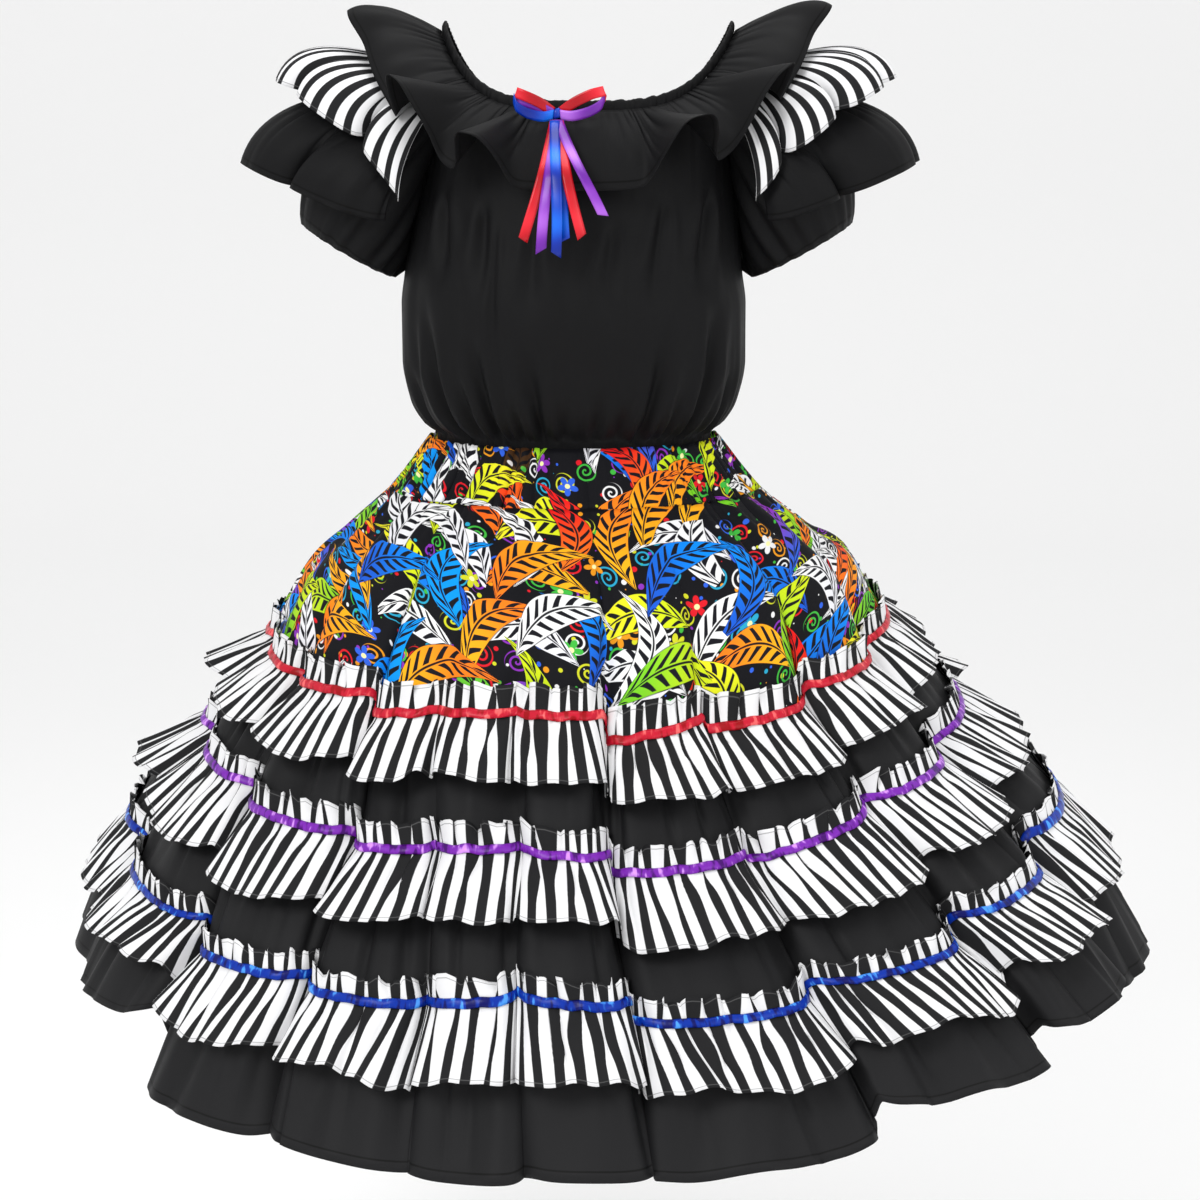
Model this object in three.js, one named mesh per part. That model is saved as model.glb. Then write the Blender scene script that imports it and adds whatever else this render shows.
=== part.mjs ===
// Square dance dress, worn form without a wearer: a black peasant blouse with a ruffled neck and
// shoulders, and a full skirt with a printed yoke, three black tiers and three striped ruffles.
// Millimetres, +Z up, origin at the centre of the skirt's waist, front towards -Y, the wearer's left at +X.
import * as THREE from "three";

// ---------------------------------------------------------------- driving dimensions
const CLOTH = 1.5; // wall of one layer of cloth, or of a gathered one
const CASING = 2.5; // wall of a casing with elastic in it
const RIBBON = 1.0; // wall of a ribbon
const SEAM = 0.4; // space between pieces that are sewn together
const LIFT_OFF = 0.8; // space between a panel and the ruffle that lies on it

const HEADER = 22; // frill above a ruffle's gathering line
const DROP = 68; // ruffle below its gathering line
const BAND = 5.2; // half of the flat strip under a ribbon
const RIBBON_HALF = 4.5; // half of a ribbon's width

// Rings of the skirt, waist to hem: half width, half depth, height, shift to the wearer's left,
// half the depth of the folds, and which column of the fold table gives the fold lines.
const RINGS = [
  { name: "waist", rx: 131.8, ry: 100.8, z: 0, lean: 0, fold: 2.0, at: 0 },
  { name: "casing_seam", rx: 169, ry: 138, z: -48, lean: 1, fold: 2.6, at: 0 },
  { name: "yoke_a", rx: 210, ry: 184, z: -86, lean: 4, fold: 4, at: 0 },
  { name: "yoke_b", rx: 243, ry: 226, z: -122, lean: 6, fold: 6, at: 0.4 },
  { name: "ruffle_1", rx: 280, ry: 277, z: -200, lean: 2, fold: 9, at: 1 },
  { name: "ruffle_2", rx: 343, ry: 341, z: -302, lean: 6, fold: 13, at: 2 },
  { name: "ruffle_3", rx: 422, ry: 419, z: -401, lean: 16, fold: 17, at: 3 },
  { name: "tier_3_mid", rx: 457, ry: 453, z: -460, lean: 24, fold: 20, at: 3.5 },
  { name: "hem", rx: 488, ry: 485, z: -518, lean: 32, fold: 22, at: 4 },
];

// The skirt's large folds, round from the wearer's right side over the front (0 degrees) to the back.
// at: angle of the fold line at ruffle 1, 2, 3 and the hem. deep: its share of the fold depth.
// rise: how far the cloth after this fold line stands above the level ring, at its start and its
// end, for ruffle 1, 2, 3 and the hem.
const FOLDS = [
  { at: [-80, -80, -78, -76], deep: 0.5, rise: [[14, 2], [30, 18], [28, 18], [40, 66]] },
  { at: [-60, -57, -51, -53], deep: 1.0, rise: [[0, 4], [7, 3], [0, 2], [5, 0]] },
  { at: [-38, -33, -33, -34], deep: 1.0, rise: [[-12, -3], [-5, 0], [-4, -6], [4, -8]] },
  { at: [-24, -20, -18, -19], deep: 0.5, rise: [[-3, 0], [2, 6], [-3, 7], [-8, -6]] },
  { at: [-10, -8, -8, -8], deep: 0.45, rise: [[0, 0], [5, 0], [10, 3], [0, 2]] },
  { at: [5, 4, 4, 4], deep: 1.15, rise: [[-25, -8], [-14, -8], [-11, -9], [-3, 12]] },
  { at: [23, 24, 25, 26], deep: 0.9, rise: [[-19, -8], [-14, 14], [5, 10], [42, 32]] },
  { at: [46, 46, 47, 49], deep: 1.0, rise: [[4, 13], [18, 30], [30, 37], [60, 66]] },
  { at: [71, 70, 69, 67], deep: 0.8, rise: [[22, 44], [38, 72], [60, 80], [40, 60]] },
  { at: [110, 110, 110, 109], deep: 0.9, rise: [[44, 36], [74, 66], [96, 80], [92, 84]] },
  { at: [129, 128, 130, 129], deep: 0.8, rise: [[34, 18], [64, 40], [76, 50], [80, 56]] },
  { at: [147, 149, 148, 149], deep: 1.0, rise: [[12, 6], [28, 14], [40, 20], [46, 26]] },
  { at: [166, 165, 167, 166], deep: 0.6, rise: [[-4, -8], [0, 4], [4, 0], [8, 10]] },
  { at: [184, 185, 184, 186], deep: 1.1, rise: [[6, 0], [8, 2], [10, 4], [18, 8]] },
  { at: [203, 202, 204, 203], deep: 0.7, rise: [[-8, -2], [-2, 6], [0, 10], [6, 22]] },
  { at: [222, 223, 221, 222], deep: 1.0, rise: [[4, 4], [12, 8], [14, 10], [28, 18]] },
  { at: [241, 240, 242, 241], deep: 0.8, rise: [[-4, 2], [6, 14], [10, 20], [20, 36]] },
  { at: [260, 261, 260, 261], deep: 0.9, rise: [[16, 18], [38, 36], [52, 44], [46, 42]] },
];
const PER_FOLD = 4; // columns of a panel in one fold: valley, flank, top, flank
const LOBE = [-1, 0.65, 1, 0.65]; // how far out each of those columns stands
const SQUEEZE = 0.09; // how narrow the valleys are

// The torso under the blouse's cloth: height, half width, half depth in front and at the back.
const TORSO = [
  { z: -14, rx: 125.5, front: 94.5, back: 94.5 },
  { z: 3, rx: 126, front: 95, back: 95 },
  { z: 14, rx: 138, front: 108, back: 104 },
  { z: 34, rx: 150, front: 120, back: 112 },
  { z: 70, rx: 157, front: 129, back: 117 },
  { z: 120, rx: 157, front: 137, back: 119 },
  { z: 152, rx: 153, front: 134, back: 118 },
  { z: 200, rx: 149, front: 124, back: 115 },
  { z: 260, rx: 142, front: 110, back: 106 },
  { z: 302, rx: 136, front: 98, back: 96 },
  { z: 380, rx: 127, front: 90, back: 88 },
];
const SHOULDER_LEAN = { from: 150, to: 372, shift: 14 }; // the shoulders stand a little to the left
const NECK = { front: 302, back: 296, side: 372, power: 3.7, casing: 11 };
const NECK_STEP = 10; // degrees between columns of the neck casing
const NECK_CORNER = 50; // where the raglan seam meets the casing, degrees from the middle
// Crests of the neck ruffle, where its edge stands out and up; between them it lies on the blouse.
const NECK_CRESTS = [
  { at: -40, rise: 50, reach: 26 },
  { at: -22, rise: 38, reach: 28 },
  { at: 25, rise: 48, reach: 30 },
  { at: 45, rise: 46, reach: 26 },
  { at: -78, rise: 6, reach: 8 },
  { at: 82, rise: 6, reach: 8 },
  { at: 118, rise: 30, reach: 20 },
  { at: 143, rise: 30, reach: 24 },
  { at: 170, rise: 34, reach: 26 },
  { at: 199, rise: 32, reach: 24 },
  { at: 224, rise: 30, reach: 22 },
  { at: 246, rise: 32, reach: 20 },
];
const NECK_CREST_WIDTH = 6.5; // degrees
const RAGLAN_STEPS = 6;
const UNDERARM = 150;

const SLEEVE = {
  hemIn: [162, 144], // armpit end of the sleeve hem, x and z
  hemOut: [250, 194], // outer end
  hemDepth: 56, // half its depth, front to back
  rows: [0, 0.22, 0.45, 0.75, 1],
  puff: 38,
};

// ---------------------------------------------------------------- helpers
const V = (x, y, z) => new THREE.Vector3(x, y, z);
const rad = THREE.MathUtils.degToRad;
const lerp = THREE.MathUtils.lerp;
const between = (a, b, t) => a.clone().lerp(b, t);
const add = (p, direction, distance) => p.clone().addScaledVector(direction, distance);

// Value of column `key` of a table of rows sorted by z.
function look(table, key, z) {
  let i = 1;
  while (i < table.length - 1 && table[i].z < z) i++;
  const a = table[i - 1], b = table[i];
  const t = THREE.MathUtils.clamp((z - a.z) / (b.z - a.z), 0, 1);
  return lerp(a[key], b[key], t);
}

// Outward normal at each point of a grid whose rows run downwards and whose columns run
// anticlockwise seen from above (from the wearer's right over the front to the left). At a side
// seam, in the plane y = 0, the normal stays in that plane, so that both halves end on it.
function normals(grid, seams = true) {
  return grid.map((row, r) =>
    row.map((_, c) => {
      const sum = V(0, 0, 0);
      for (const [dr, dc] of [[-1, -1], [-1, 0], [0, -1], [0, 0]]) {
        const r0 = r + dr, c0 = c + dc;
        if (r0 < 0 || c0 < 0 || r0 + 1 >= grid.length || c0 + 1 >= row.length) continue;
        const across = grid[r0][c0 + 1].clone().sub(grid[r0 + 1][c0]);
        const down = grid[r0 + 1][c0 + 1].clone().sub(grid[r0][c0]);
        sum.add(down.cross(across).normalize());
      }
      if (seams && (c === 0 || c === row.length - 1)) sum.setY(0);
      return sum.normalize();
    }),
  );
}

function moved(grid, distance, seams = true) {
  const n = normals(grid, seams);
  return grid.map((row, r) => row.map((p, c) => add(p, n[r][c], distance)));
}

// A closed wall between an outer and an inner grid of the same size.
function wallBetween(outer, inner) {
  const rows = outer.length, cols = outer[0].length, size = rows * cols;
  const points = [...outer.flat(), ...inner.flat()];
  const index = [];
  const quad = (a, b, c, d) => index.push(a, b, c, a, c, d);
  const o = (r, c) => r * cols + c, i = (r, c) => size + r * cols + c;
  for (let r = 0; r + 1 < rows; r++)
    for (let c = 0; c + 1 < cols; c++) {
      quad(o(r, c), o(r + 1, c), o(r + 1, c + 1), o(r, c + 1));
      quad(i(r, c), i(r, c + 1), i(r + 1, c + 1), i(r + 1, c));
    }
  for (let c = 0; c + 1 < cols; c++) {
    quad(o(0, c), o(0, c + 1), i(0, c + 1), i(0, c));
    quad(o(rows - 1, c + 1), o(rows - 1, c), i(rows - 1, c), i(rows - 1, c + 1));
  }
  for (let r = 0; r + 1 < rows; r++) {
    quad(o(r + 1, 0), o(r, 0), i(r, 0), i(r + 1, 0));
    quad(o(r, cols - 1), o(r + 1, cols - 1), i(r + 1, cols - 1), i(r, cols - 1));
  }
  const geometry = new THREE.BufferGeometry().setFromPoints(points);
  geometry.setIndex(index);
  geometry.computeVertexNormals();
  return geometry;
}
// Walls of which the given grid is the outer or the inner face.
const wallInside = (grid, thickness) => wallBetween(grid, moved(grid, -thickness));
const wallOutside = (grid, thickness, seams = true) => wallBetween(moved(grid, thickness, seams), grid);

// Moves the first and last column of each row half a seam inwards.
function trimSides(grid) {
  for (const row of grid) {
    const last = row.length - 1;
    const inwards = (p, q) => add(p, q.clone().sub(p).normalize(), SEAM / 2);
    [row[0], row[last]] = [inwards(row[0], row[1]), inwards(row[last], row[last - 1])];
  }
  return grid;
}

const material = (color, roughness) =>
  new THREE.MeshStandardMaterial({ color, roughness, side: THREE.DoubleSide });
const BLACK = material(0x26262a, 0.85);
const STRIPE = material(0xb9b9bb, 0.8);
const PRINT = material(0x3d5a8c, 0.8);
const RED = material(0xd01020, 0.35);
const PURPLE = material(0x8a3cc8, 0.35);
const BLUE = material(0x1540c8, 0.35);

const dress = new THREE.Group();
function piece(name, geometry, cloth) {
  const mesh = new THREE.Mesh(geometry, cloth);
  mesh.name = name;
  dress.add(mesh);
}

// ---------------------------------------------------------------- skirt surface
const COLUMNS = FOLDS.length * PER_FOLD;

// Value of one of a fold's lists at a ring: column 1 is ruffle 1, column 4 the hem.
function foldValue(list, at, pick) {
  if (at <= 1) return pick(list[0]);
  const i = Math.min(Math.floor(at), 3);
  return lerp(pick(list[i - 1]), pick(list[Math.min(i, 3)]), at - i);
}
const foldAngle = (f, at) => {
  const turns = Math.floor(f / FOLDS.length);
  return foldValue(FOLDS[f - turns * FOLDS.length].at, at, (v) => v) + 360 * turns;
};
const fold = (f) => FOLDS[(f + FOLDS.length) % FOLDS.length];

// Point of a ring at column q, where q = 0 is the first fold line.
function ringPoint(ring, q) {
  const f = Math.floor(q / PER_FOLD), j = q - f * PER_FOLD, t = j / PER_FOLD;
  const squeeze = (SQUEEZE * ring.fold) / 20;
  const share = t - squeeze * Math.sin(2 * Math.PI * t);
  const angle = rad(lerp(foldAngle(f, ring.at), foldAngle(f + 1, ring.at), share));
  const deep = lerp(fold(f).deep, fold(f + 1).deep, t);
  const out = ring.fold * deep * LOBE[j];
  const start = foldValue(fold(f).rise, ring.at, (v) => v[0]);
  const end = foldValue(fold(f).rise, ring.at, (v) => v[1]);
  const before = foldValue(fold(f - 1).rise, ring.at, (v) => v[1]);
  const rise = (j === 0 ? (start + before) / 2 : lerp(start, end, (t - 0.15) / 0.7)) * Math.min(ring.at, 1);
  return V(
    ring.lean + (ring.rx + out) * Math.sin(angle),
    -(ring.ry + out) * Math.cos(angle),
    ring.z + rise,
  );
}

// Both halves of the skirt meet at the side seams, on the tops of two folds.
const HALVES = { front: [-2, 34], back: [34, 70] };
const columnsOf = (half) => {
  const [from, to] = HALVES[half];
  return Array.from({ length: to - from + 1 }, (_, i) => from + i);
};
const ringNamed = (name) => RINGS.findIndex((ring) => ring.name === name);

// All rings of a half with the normals of the whole surface, which the panels share.
const SKIRT = {};
for (const half of Object.keys(HALVES)) {
  const grid = RINGS.map((ring) => columnsOf(half).map((q) => ringPoint(ring, q)));
  SKIRT[half] = { grid, normal: normals(grid) };
}

// The wall of a panel from one ring to another, with room for the seams at both.
function skirtPanel(half, top, bottom, thickness, seamTop, seamBottom) {
  const [from, to] = [ringNamed(top), ringNamed(bottom) + 1];
  const outer = SKIRT[half].grid.slice(from, to).map((row) => row.map((p) => p.clone()));
  const normal = SKIRT[half].normal.slice(from, to);
  const edge = (row, next) => row.map((p, c) => add(p, next[c].clone().sub(p).normalize(), SEAM / 2));
  const last = outer.length - 1;
  const [first, end] = [edge(outer[0], outer[1]), edge(outer[last], outer[last - 1])];
  if (seamTop) outer[0] = first;
  if (seamBottom) outer[last] = end;
  trimSides(outer);
  return wallBetween(outer, outer.map((row, r) => row.map((p, c) => add(p, normal[r][c], -thickness))));
}

for (const half of ["front", "back"]) {
  piece("waistband_" + half, skirtPanel(half, "waist", "casing_seam", CASING, false, true), PRINT);
  piece("yoke_" + half, skirtPanel(half, "casing_seam", "ruffle_1", CLOTH, true, true), PRINT);
  piece("tier_1_" + half, skirtPanel(half, "ruffle_1", "ruffle_2", CLOTH, true, true), BLACK);
  piece("tier_2_" + half, skirtPanel(half, "ruffle_2", "ruffle_3", CLOTH, true, true), BLACK);
  piece("tier_3_" + half, skirtPanel(half, "ruffle_3", "hem", CLOTH, true, false), BLACK);
}

// ---------------------------------------------------------------- ruffles and ribbons on the skirt
// Points of the skirt's own faces at a distance below (or above) a ring, halfway columns included,
// with the normal of the face and the direction of the cone there.
function onSkirt(ringIndex, half, distance) {
  const nextIndex = ringIndex + (distance < 0 ? -1 : 1);
  const ring = RINGS[ringIndex], next = RINGS[nextIndex];
  const t = Math.abs(distance) / Math.hypot(next.rx - ring.rx, next.z - ring.z);
  const { grid, normal } = SKIRT[half];
  const p = grid[ringIndex].map((point, c) => between(point, grid[nextIndex][c], t));
  const n = normal[ringIndex].map((direction, c) => between(direction, normal[nextIndex][c], t));
  const steep = Math.atan2(Math.abs(next.z - ring.z), Math.abs(next.rx - ring.rx));
  const out = [];
  p.forEach((point, c) => {
    out.push({ p: point, n: n[c].normalize() });
    if (c + 1 < p.length)
      out.push({ p: between(point, p[c + 1], 0.5), n: n[c].clone().add(n[c + 1]).normalize() });
  });
  for (const o of out) {
    const around = V(o.p.x - ring.lean, o.p.y, 0).normalize();
    o.cone = around.multiplyScalar(Math.sin(steep)).setZ(Math.cos(steep));
  }
  return out;
}

// Depth of the small waves of a ruffle at half column h: 0 in, 1 out, with uneven sizes.
function wave(h, seed) {
  const size = 1 + 0.16 * Math.sin(1.9 * h + seed) + 0.12 * Math.sin(0.7 * h + 2 * seed);
  return (size * (1 - Math.cos((Math.PI * h) / 2))) / 2;
}
// The same for a ruffle on the skirt: every second valley, on the top of a large fold, is shallow.
const TOP_VALLEY = 0.4;
function skirtWave(h, seed) {
  const onTop = (h + 2 * PER_FOLD * FOLDS.length) % (2 * PER_FOLD) === PER_FOLD;
  return onTop ? TOP_VALLEY : wave(h, seed);
}

function skirtRuffle(ringIndex, half, seed) {
  const rows = [
    { distance: -HEADER, base: 1.4, swing: 4.5 },
    { distance: -BAND, base: 0, swing: 0 },
    { distance: BAND, base: 0, swing: 0 },
    { distance: DROP, base: 6, swing: 21 },
  ];
  const grid = rows.map(({ distance, base, swing }) =>
    onSkirt(ringIndex, half, distance).map(({ p, n, cone }, i) =>
      add(add(p, n, LIFT_OFF), cone, base + swing * skirtWave(i + 2 * HALVES[half][0], seed)),
    ),
  );
  return trimSides(grid);
}

function skirtRibbon(ringIndex, half) {
  const off = LIFT_OFF + CLOTH + 0.7;
  const grid = [-RIBBON_HALF, RIBBON_HALF].map((distance) =>
    onSkirt(ringIndex, half, distance)
      .filter((_, h) => h % 2 === 0)
      .map(({ p, n }) => add(p, n, off)),
  );
  return trimSides(grid);
}

[["ruffle_1", RED], ["ruffle_2", PURPLE], ["ruffle_3", BLUE]].forEach(([name, satin], i) => {
  for (const half of ["front", "back"]) {
    const ringIndex = ringNamed(name);
    const seed = 1 + 2 * i + (half === "back" ? 1 : 0);
    piece(name + "_" + half, wallOutside(skirtRuffle(ringIndex, half, seed), CLOTH), STRIPE);
    piece("ribbon_" + (i + 1) + "_" + half, wallOutside(skirtRibbon(ringIndex, half), RIBBON), satin);
  }
});

// ---------------------------------------------------------------- blouse surface
const shoulderLean = (z) =>
  SHOULDER_LEAN.shift *
  THREE.MathUtils.clamp((z - SHOULDER_LEAN.from) / (SHOULDER_LEAN.to - SHOULDER_LEAN.from), 0, 1);

// Point of the torso at an angle (0 in front, 90 at the wearer's left) and a height.
function torso(angle, z) {
  const depth = look(TORSO, Math.cos(rad(angle)) > 0 ? "front" : "back", z);
  return V(
    shoulderLean(z) + look(TORSO, "rx", z) * Math.sin(rad(angle)),
    -depth * Math.cos(rad(angle)),
    z,
  );
}
function neckHeight(angle) {
  const middle = Math.cos(rad(angle)) > 0 ? NECK.front : NECK.back;
  return middle + (NECK.side - middle) * Math.abs(Math.sin(rad(angle))) ** NECK.power;
}
// Upper edge of the bodice and sleeves: w = 0 at the casing's corner, 1 at the underarm.
function raglan(w, side, face) {
  const angle = lerp(NECK_CORNER, 90, w ** 0.85);
  const z = lerp(neckHeight(NECK_CORNER) - NECK.casing - SEAM, UNDERARM, w);
  return torso(side * (face === "front" ? angle : 180 - angle), z);
}
const underCasing = (angle) => torso(angle, neckHeight(angle) - NECK.casing - SEAM);

// Bodice: columns from one side seam to the other, each from the waist to the neck or raglan seam.
function bodice(face) {
  const top = [];
  for (let k = RAGLAN_STEPS; k > 0; k--) top.push(raglan(k / RAGLAN_STEPS, -1, face));
  for (let a = -NECK_CORNER; a <= NECK_CORNER; a += NECK_STEP)
    top.push(underCasing(face === "front" ? a : 180 - a));
  for (let k = 1; k <= RAGLAN_STEPS; k++) top.push(raglan(k / RAGLAN_STEPS, 1, face));
  const last = top.length - 1;
  const heights = [1, 0.72, 0.46, 0.26, 0.13, 0.05, 0]; // share of the way up
  const grid = heights.map((share) =>
    top.map((end, c) => {
      if (share === 1) return end;
      const foot = -90 + (180 * c) / last;
      const lean = shoulderLean(end.z);
      const high = THREE.MathUtils.radToDeg(
        Math.atan2(
          (end.x - lean) / look(TORSO, "rx", end.z),
          Math.abs(end.y) / look(TORSO, face, end.z),
        ),
      );
      const angle = lerp(foot, high, share ** 1.2);
      const z = lerp(-14, end.z, share);
      const p = torso(face === "front" ? angle : 180 - angle, z);
      // Soft gathers that rise from the waist and die out.
      const gather = 2.4 * Math.cos((Math.PI * c) / 2) * Math.exp(-(((z - 34) / 34) ** 2));
      const around = V(p.x, p.y, 0).normalize();
      return add(p, around, c === 0 || c === last ? 0 : gather);
    }),
  );
  if (face === "back") for (const row of grid) row.reverse();
  return trimSides(grid);
}
for (const face of ["front", "back"]) piece("bodice_" + face, wallInside(bodice(face), CLOTH), BLACK);

// Neck casing and the ruffle under it.
const neckAngles = (half, step) => {
  const from = half === "front" ? -90 : 90;
  return Array.from({ length: 180 / step + 1 }, (_, i) => from + i * step);
};
function casing(half) {
  const grid = [0, NECK.casing].map((down) =>
    neckAngles(half, NECK_STEP).map((a) => torso(a, neckHeight(a) - down)),
  );
  return trimSides(moved(grid, 0.8));
}
function neckRuffle(half) {
  const face = casing(half);
  const n = normals(face)[1];
  const cols = face[0].length;
  const attach = [];
  for (let c = 0; c < cols; c++) {
    const p = between(face[1][c], face[0][c], 0.25);
    attach.push(add(p, n[c], 0.5));
    if (c + 1 < cols)
      attach.push(
        add(between(p, between(face[1][c + 1], face[0][c + 1], 0.25), 0.5), n[c].clone().add(n[c + 1]).normalize(), 0.5),
      );
  }
  const angles = neckAngles(half, NECK_STEP / 2);
  const depth = half === "front" ? 138 : 146;
  const low = half === "front" ? 226 : 221;
  const edge = angles.map((a) => {
    const s = Math.sin(rad(a)), c = Math.cos(rad(a));
    let rise = 0, reach = 0;
    for (const w of NECK_CRESTS) {
      const apart = (((a - w.at + 540) % 360) - 180) / NECK_CREST_WIDTH;
      const here = Math.exp(-apart * apart);
      rise += w.rise * here;
      reach += w.reach * here;
    }
    const z = low + (377 - low) * Math.abs(s) ** 3.2;
    const corner = Math.sin(2 * rad(a)) ** 2;
    const p = V(shoulderLean(z) + 205 * s * (1 + 0.03 * corner), -depth * c * (1 + 0.1 * corner), z);
    return { p, out: V(s, -c, 0), rise, reach, level: Math.abs(s) };
  });
  const lifted = (p, { out, rise, reach }, share) => add(p, out, share * reach).add(V(0, 0, share * rise));
  const mid = edge.map((e, h) => {
    const up = V(e.out.x, e.out.y, 1.2 * e.level ** 3).normalize();
    return lifted(add(between(attach[h], e.p, 0.5), up, lerp(9, 17, e.level ** 2)), e, 0.42);
  });
  return trimSides([attach, mid, edge.map((e) => lifted(e.p, e, 1))]);
}
for (const half of ["front", "back"]) {
  piece("neck_casing_" + half, wallInside(casing(half), CASING), BLACK);
  piece("neck_ruffle_" + half, wallOutside(neckRuffle(half), CLOTH), BLACK);
}

// ---------------------------------------------------------------- sleeves and shoulder ruffles
// Column m of a sleeve: 0 on the shoulder, negative in front, +-10 at the underarm.
const SLEEVE_COLUMNS = 10;
function sleeveTop(m, side) {
  const corner = NECK_CORNER / NECK_STEP - 1;
  if (Math.abs(m) <= corner) return underCasing(side * (90 + NECK_STEP * m));
  const w = (Math.abs(m) - corner) / (SLEEVE_COLUMNS - corner);
  return raglan(w, side, m < 0 ? "front" : "back");
}
function sleevePoint(m, share, side) {
  const turn = rad((180 * m) / SLEEVE_COLUMNS);
  const [xi, zi] = SLEEVE.hemIn, [xo, zo] = SLEEVE.hemOut;
  const k = (1 + Math.cos(turn)) / 2;
  const gather = share === 1 ? 1.6 * Math.cos(Math.PI * m) : 0;
  const z = lerp(zi, zo, k);
  const hem = V(
    shoulderLean(z) + side * (lerp(xi, xo, k) + gather * Math.cos(turn)),
    (SLEEVE.hemDepth + gather) * Math.sin(turn),
    z,
  );
  const out = V(side * 0.81 * Math.cos(turn), Math.sin(turn), 0.59 * Math.cos(turn)).normalize();
  const puff = SLEEVE.puff * k ** 0.7 * Math.sin(Math.PI * share) ** 0.8;
  return add(between(sleeveTop(m, side), hem, share), out, puff);
}
// Closed round the arm: the first column is met again at the end, with a seam's space between.
function sleeve(side) {
  const grid = SLEEVE.rows.map((share) =>
    Array.from({ length: 2 * SLEEVE_COLUMNS + 1 }, (_, i) => sleevePoint(i - SLEEVE_COLUMNS, share, side)),
  );
  const away = grid[0].map((p, i) => sleevePoint(i - SLEEVE_COLUMNS, 0.1, side).sub(p).normalize());
  grid[0] = grid[0].map((p, i) => add(p, away[i], 3 * SEAM)); // clear of the bodice's wall at the raglan seam
  if (side < 0) for (const row of grid) row.reverse();
  return trimSides(grid);
}

// A ruffle on a sleeve: its gathered edge follows a row of the sleeve from column -span to span,
// cut into `parts` per column, and its free edge is a curve round the shoulder. Halfway down it
// stands out by the arch, given for its ends and its top.
function shoulderRuffle(side, { row, span, parts, free, arch, swing, seed }) {
  const columns = Array.from({ length: 2 * span * parts + 1 }, (_, i) => -span + i / parts);
  const share = SLEEVE.rows[row];
  const attach = columns.map((m) => {
    const a = Math.floor(m), t = m - a;
    const point = (k, s) => sleevePoint(THREE.MathUtils.clamp(k, -SLEEVE_COLUMNS, SLEEVE_COLUMNS), s, side);
    const across = point(a + 1, share).sub(point(a, share));
    const down = point(m, share + 0.1).sub(point(m, share - 0.1));
    const n = down.cross(across).normalize().multiplyScalar(side);
    const p = between(point(a, share), point(t > 0 ? a + 1 : a, share), t);
    return add(p, n, LIFT_OFF + 0.5);
  });
  const edge = columns.map((m, i) => {
    const turn = rad((90 * m) / span);
    const { x, y, z, out } = free(Math.cos(turn), Math.sin(turn));
    return {
      p: V(shoulderLean(z) + side * x, y, z),
      out: V(side * out[0], out[1], out[2]).normalize(),
      bulge: lerp(arch[0], arch[1], Math.cos(turn)),
      w: 2 * wave(i, seed) - 1,
    };
  });
  const mid = edge.map(({ p, out, bulge, w }, i) =>
    add(between(attach[i], p, 0.5), out, bulge + (swing / 2) * w),
  );
  const end = edge.map(({ p, out, w }) => add(p, out, swing * w));
  const grid = [attach, mid, end];
  if (side < 0) for (const line of grid) line.reverse();
  return grid;
}
const striped = {
  row: 1, span: 4, parts: 3, arch: [17, 24], swing: 7, seed: 2,
  free: (c, s) => ({ x: 160 + 106 * c, y: (s < 0 ? 94 : 93) * s, z: 219 + 97 * c ** 0.5, out: [0.35 + 0.5 * c, s, 0.75 * c] }),
};
const black = {
  row: 2, span: 5, parts: 2, arch: [6, 18], swing: 7, seed: 5,
  free: (c, s) => ({ x: 166 + 130 * c, y: (s < 0 ? 88 : 80) * s, z: 198 + 46 * c ** 1.2, out: [0.3 + 0.6 * c, s, 0.5 * c] }),
};
for (const [name, side] of [["left", 1], ["right", -1]]) {
  piece("sleeve_" + name, wallInside(sleeve(side), CLOTH), BLACK);
  piece("shoulder_ruffle_" + name, wallOutside(shoulderRuffle(side, striped), CLOTH, false), STRIPE);
  piece("sleeve_ruffle_" + name, wallOutside(shoulderRuffle(side, black), CLOTH, false), BLACK);
}

// ---------------------------------------------------------------- bow
// A flat strip along a path: `across` is the direction of its width.
function strip(path, across, width, thickness) {
  const grid = [-1, 1].map((s) => path.map((p) => add(p, across, (s * width) / 2)));
  return wallOutside([grid[1], grid[0]], thickness, false);
}
const KNOT = V(-13, -111.7, 290.6);
const WIDTH = 8.5;
function bowLoop(side, reach, rise) {
  const path = [];
  for (let k = 0; k <= 12; k++) {
    const a = rad(lerp(20, 340, k / 12));
    const along = (1 - Math.cos(a)) / 2;
    path.push(V(KNOT.x + side * (4.4 + reach * along), KNOT.y - 2.6 - 4.6 * Math.sin(a), KNOT.z + rise * along));
  }
  if (side < 0) path.reverse();
  return strip(path, V(0, 0, 1), WIDTH, 0.8);
}
piece("bow_loop_left", bowLoop(1, 34, 7), RED);
piece("bow_loop_right", bowLoop(-1, 31, 8), PURPLE);
piece("bow_knot", new THREE.SphereGeometry(4.6, 12, 8).scale(1, 0.92, 1.05).translate(KNOT.x, KNOT.y, KNOT.z), BLUE);

// Tails: foot x and z, in the order in which they lie on each other.
const TAILS = [
  { name: "bow_tail_1", x: -40, z: 186, cloth: RED },
  { name: "bow_tail_4", x: -4, z: 186, cloth: BLUE },
  { name: "bow_tail_2", x: -25, z: 177, cloth: PURPLE },
  { name: "bow_tail_5", x: 8, z: 189, cloth: RED },
  { name: "bow_tail_6", x: 25, z: 207, cloth: PURPLE },
  { name: "bow_tail_3", x: -14, z: 174, cloth: BLUE },
];
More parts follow.
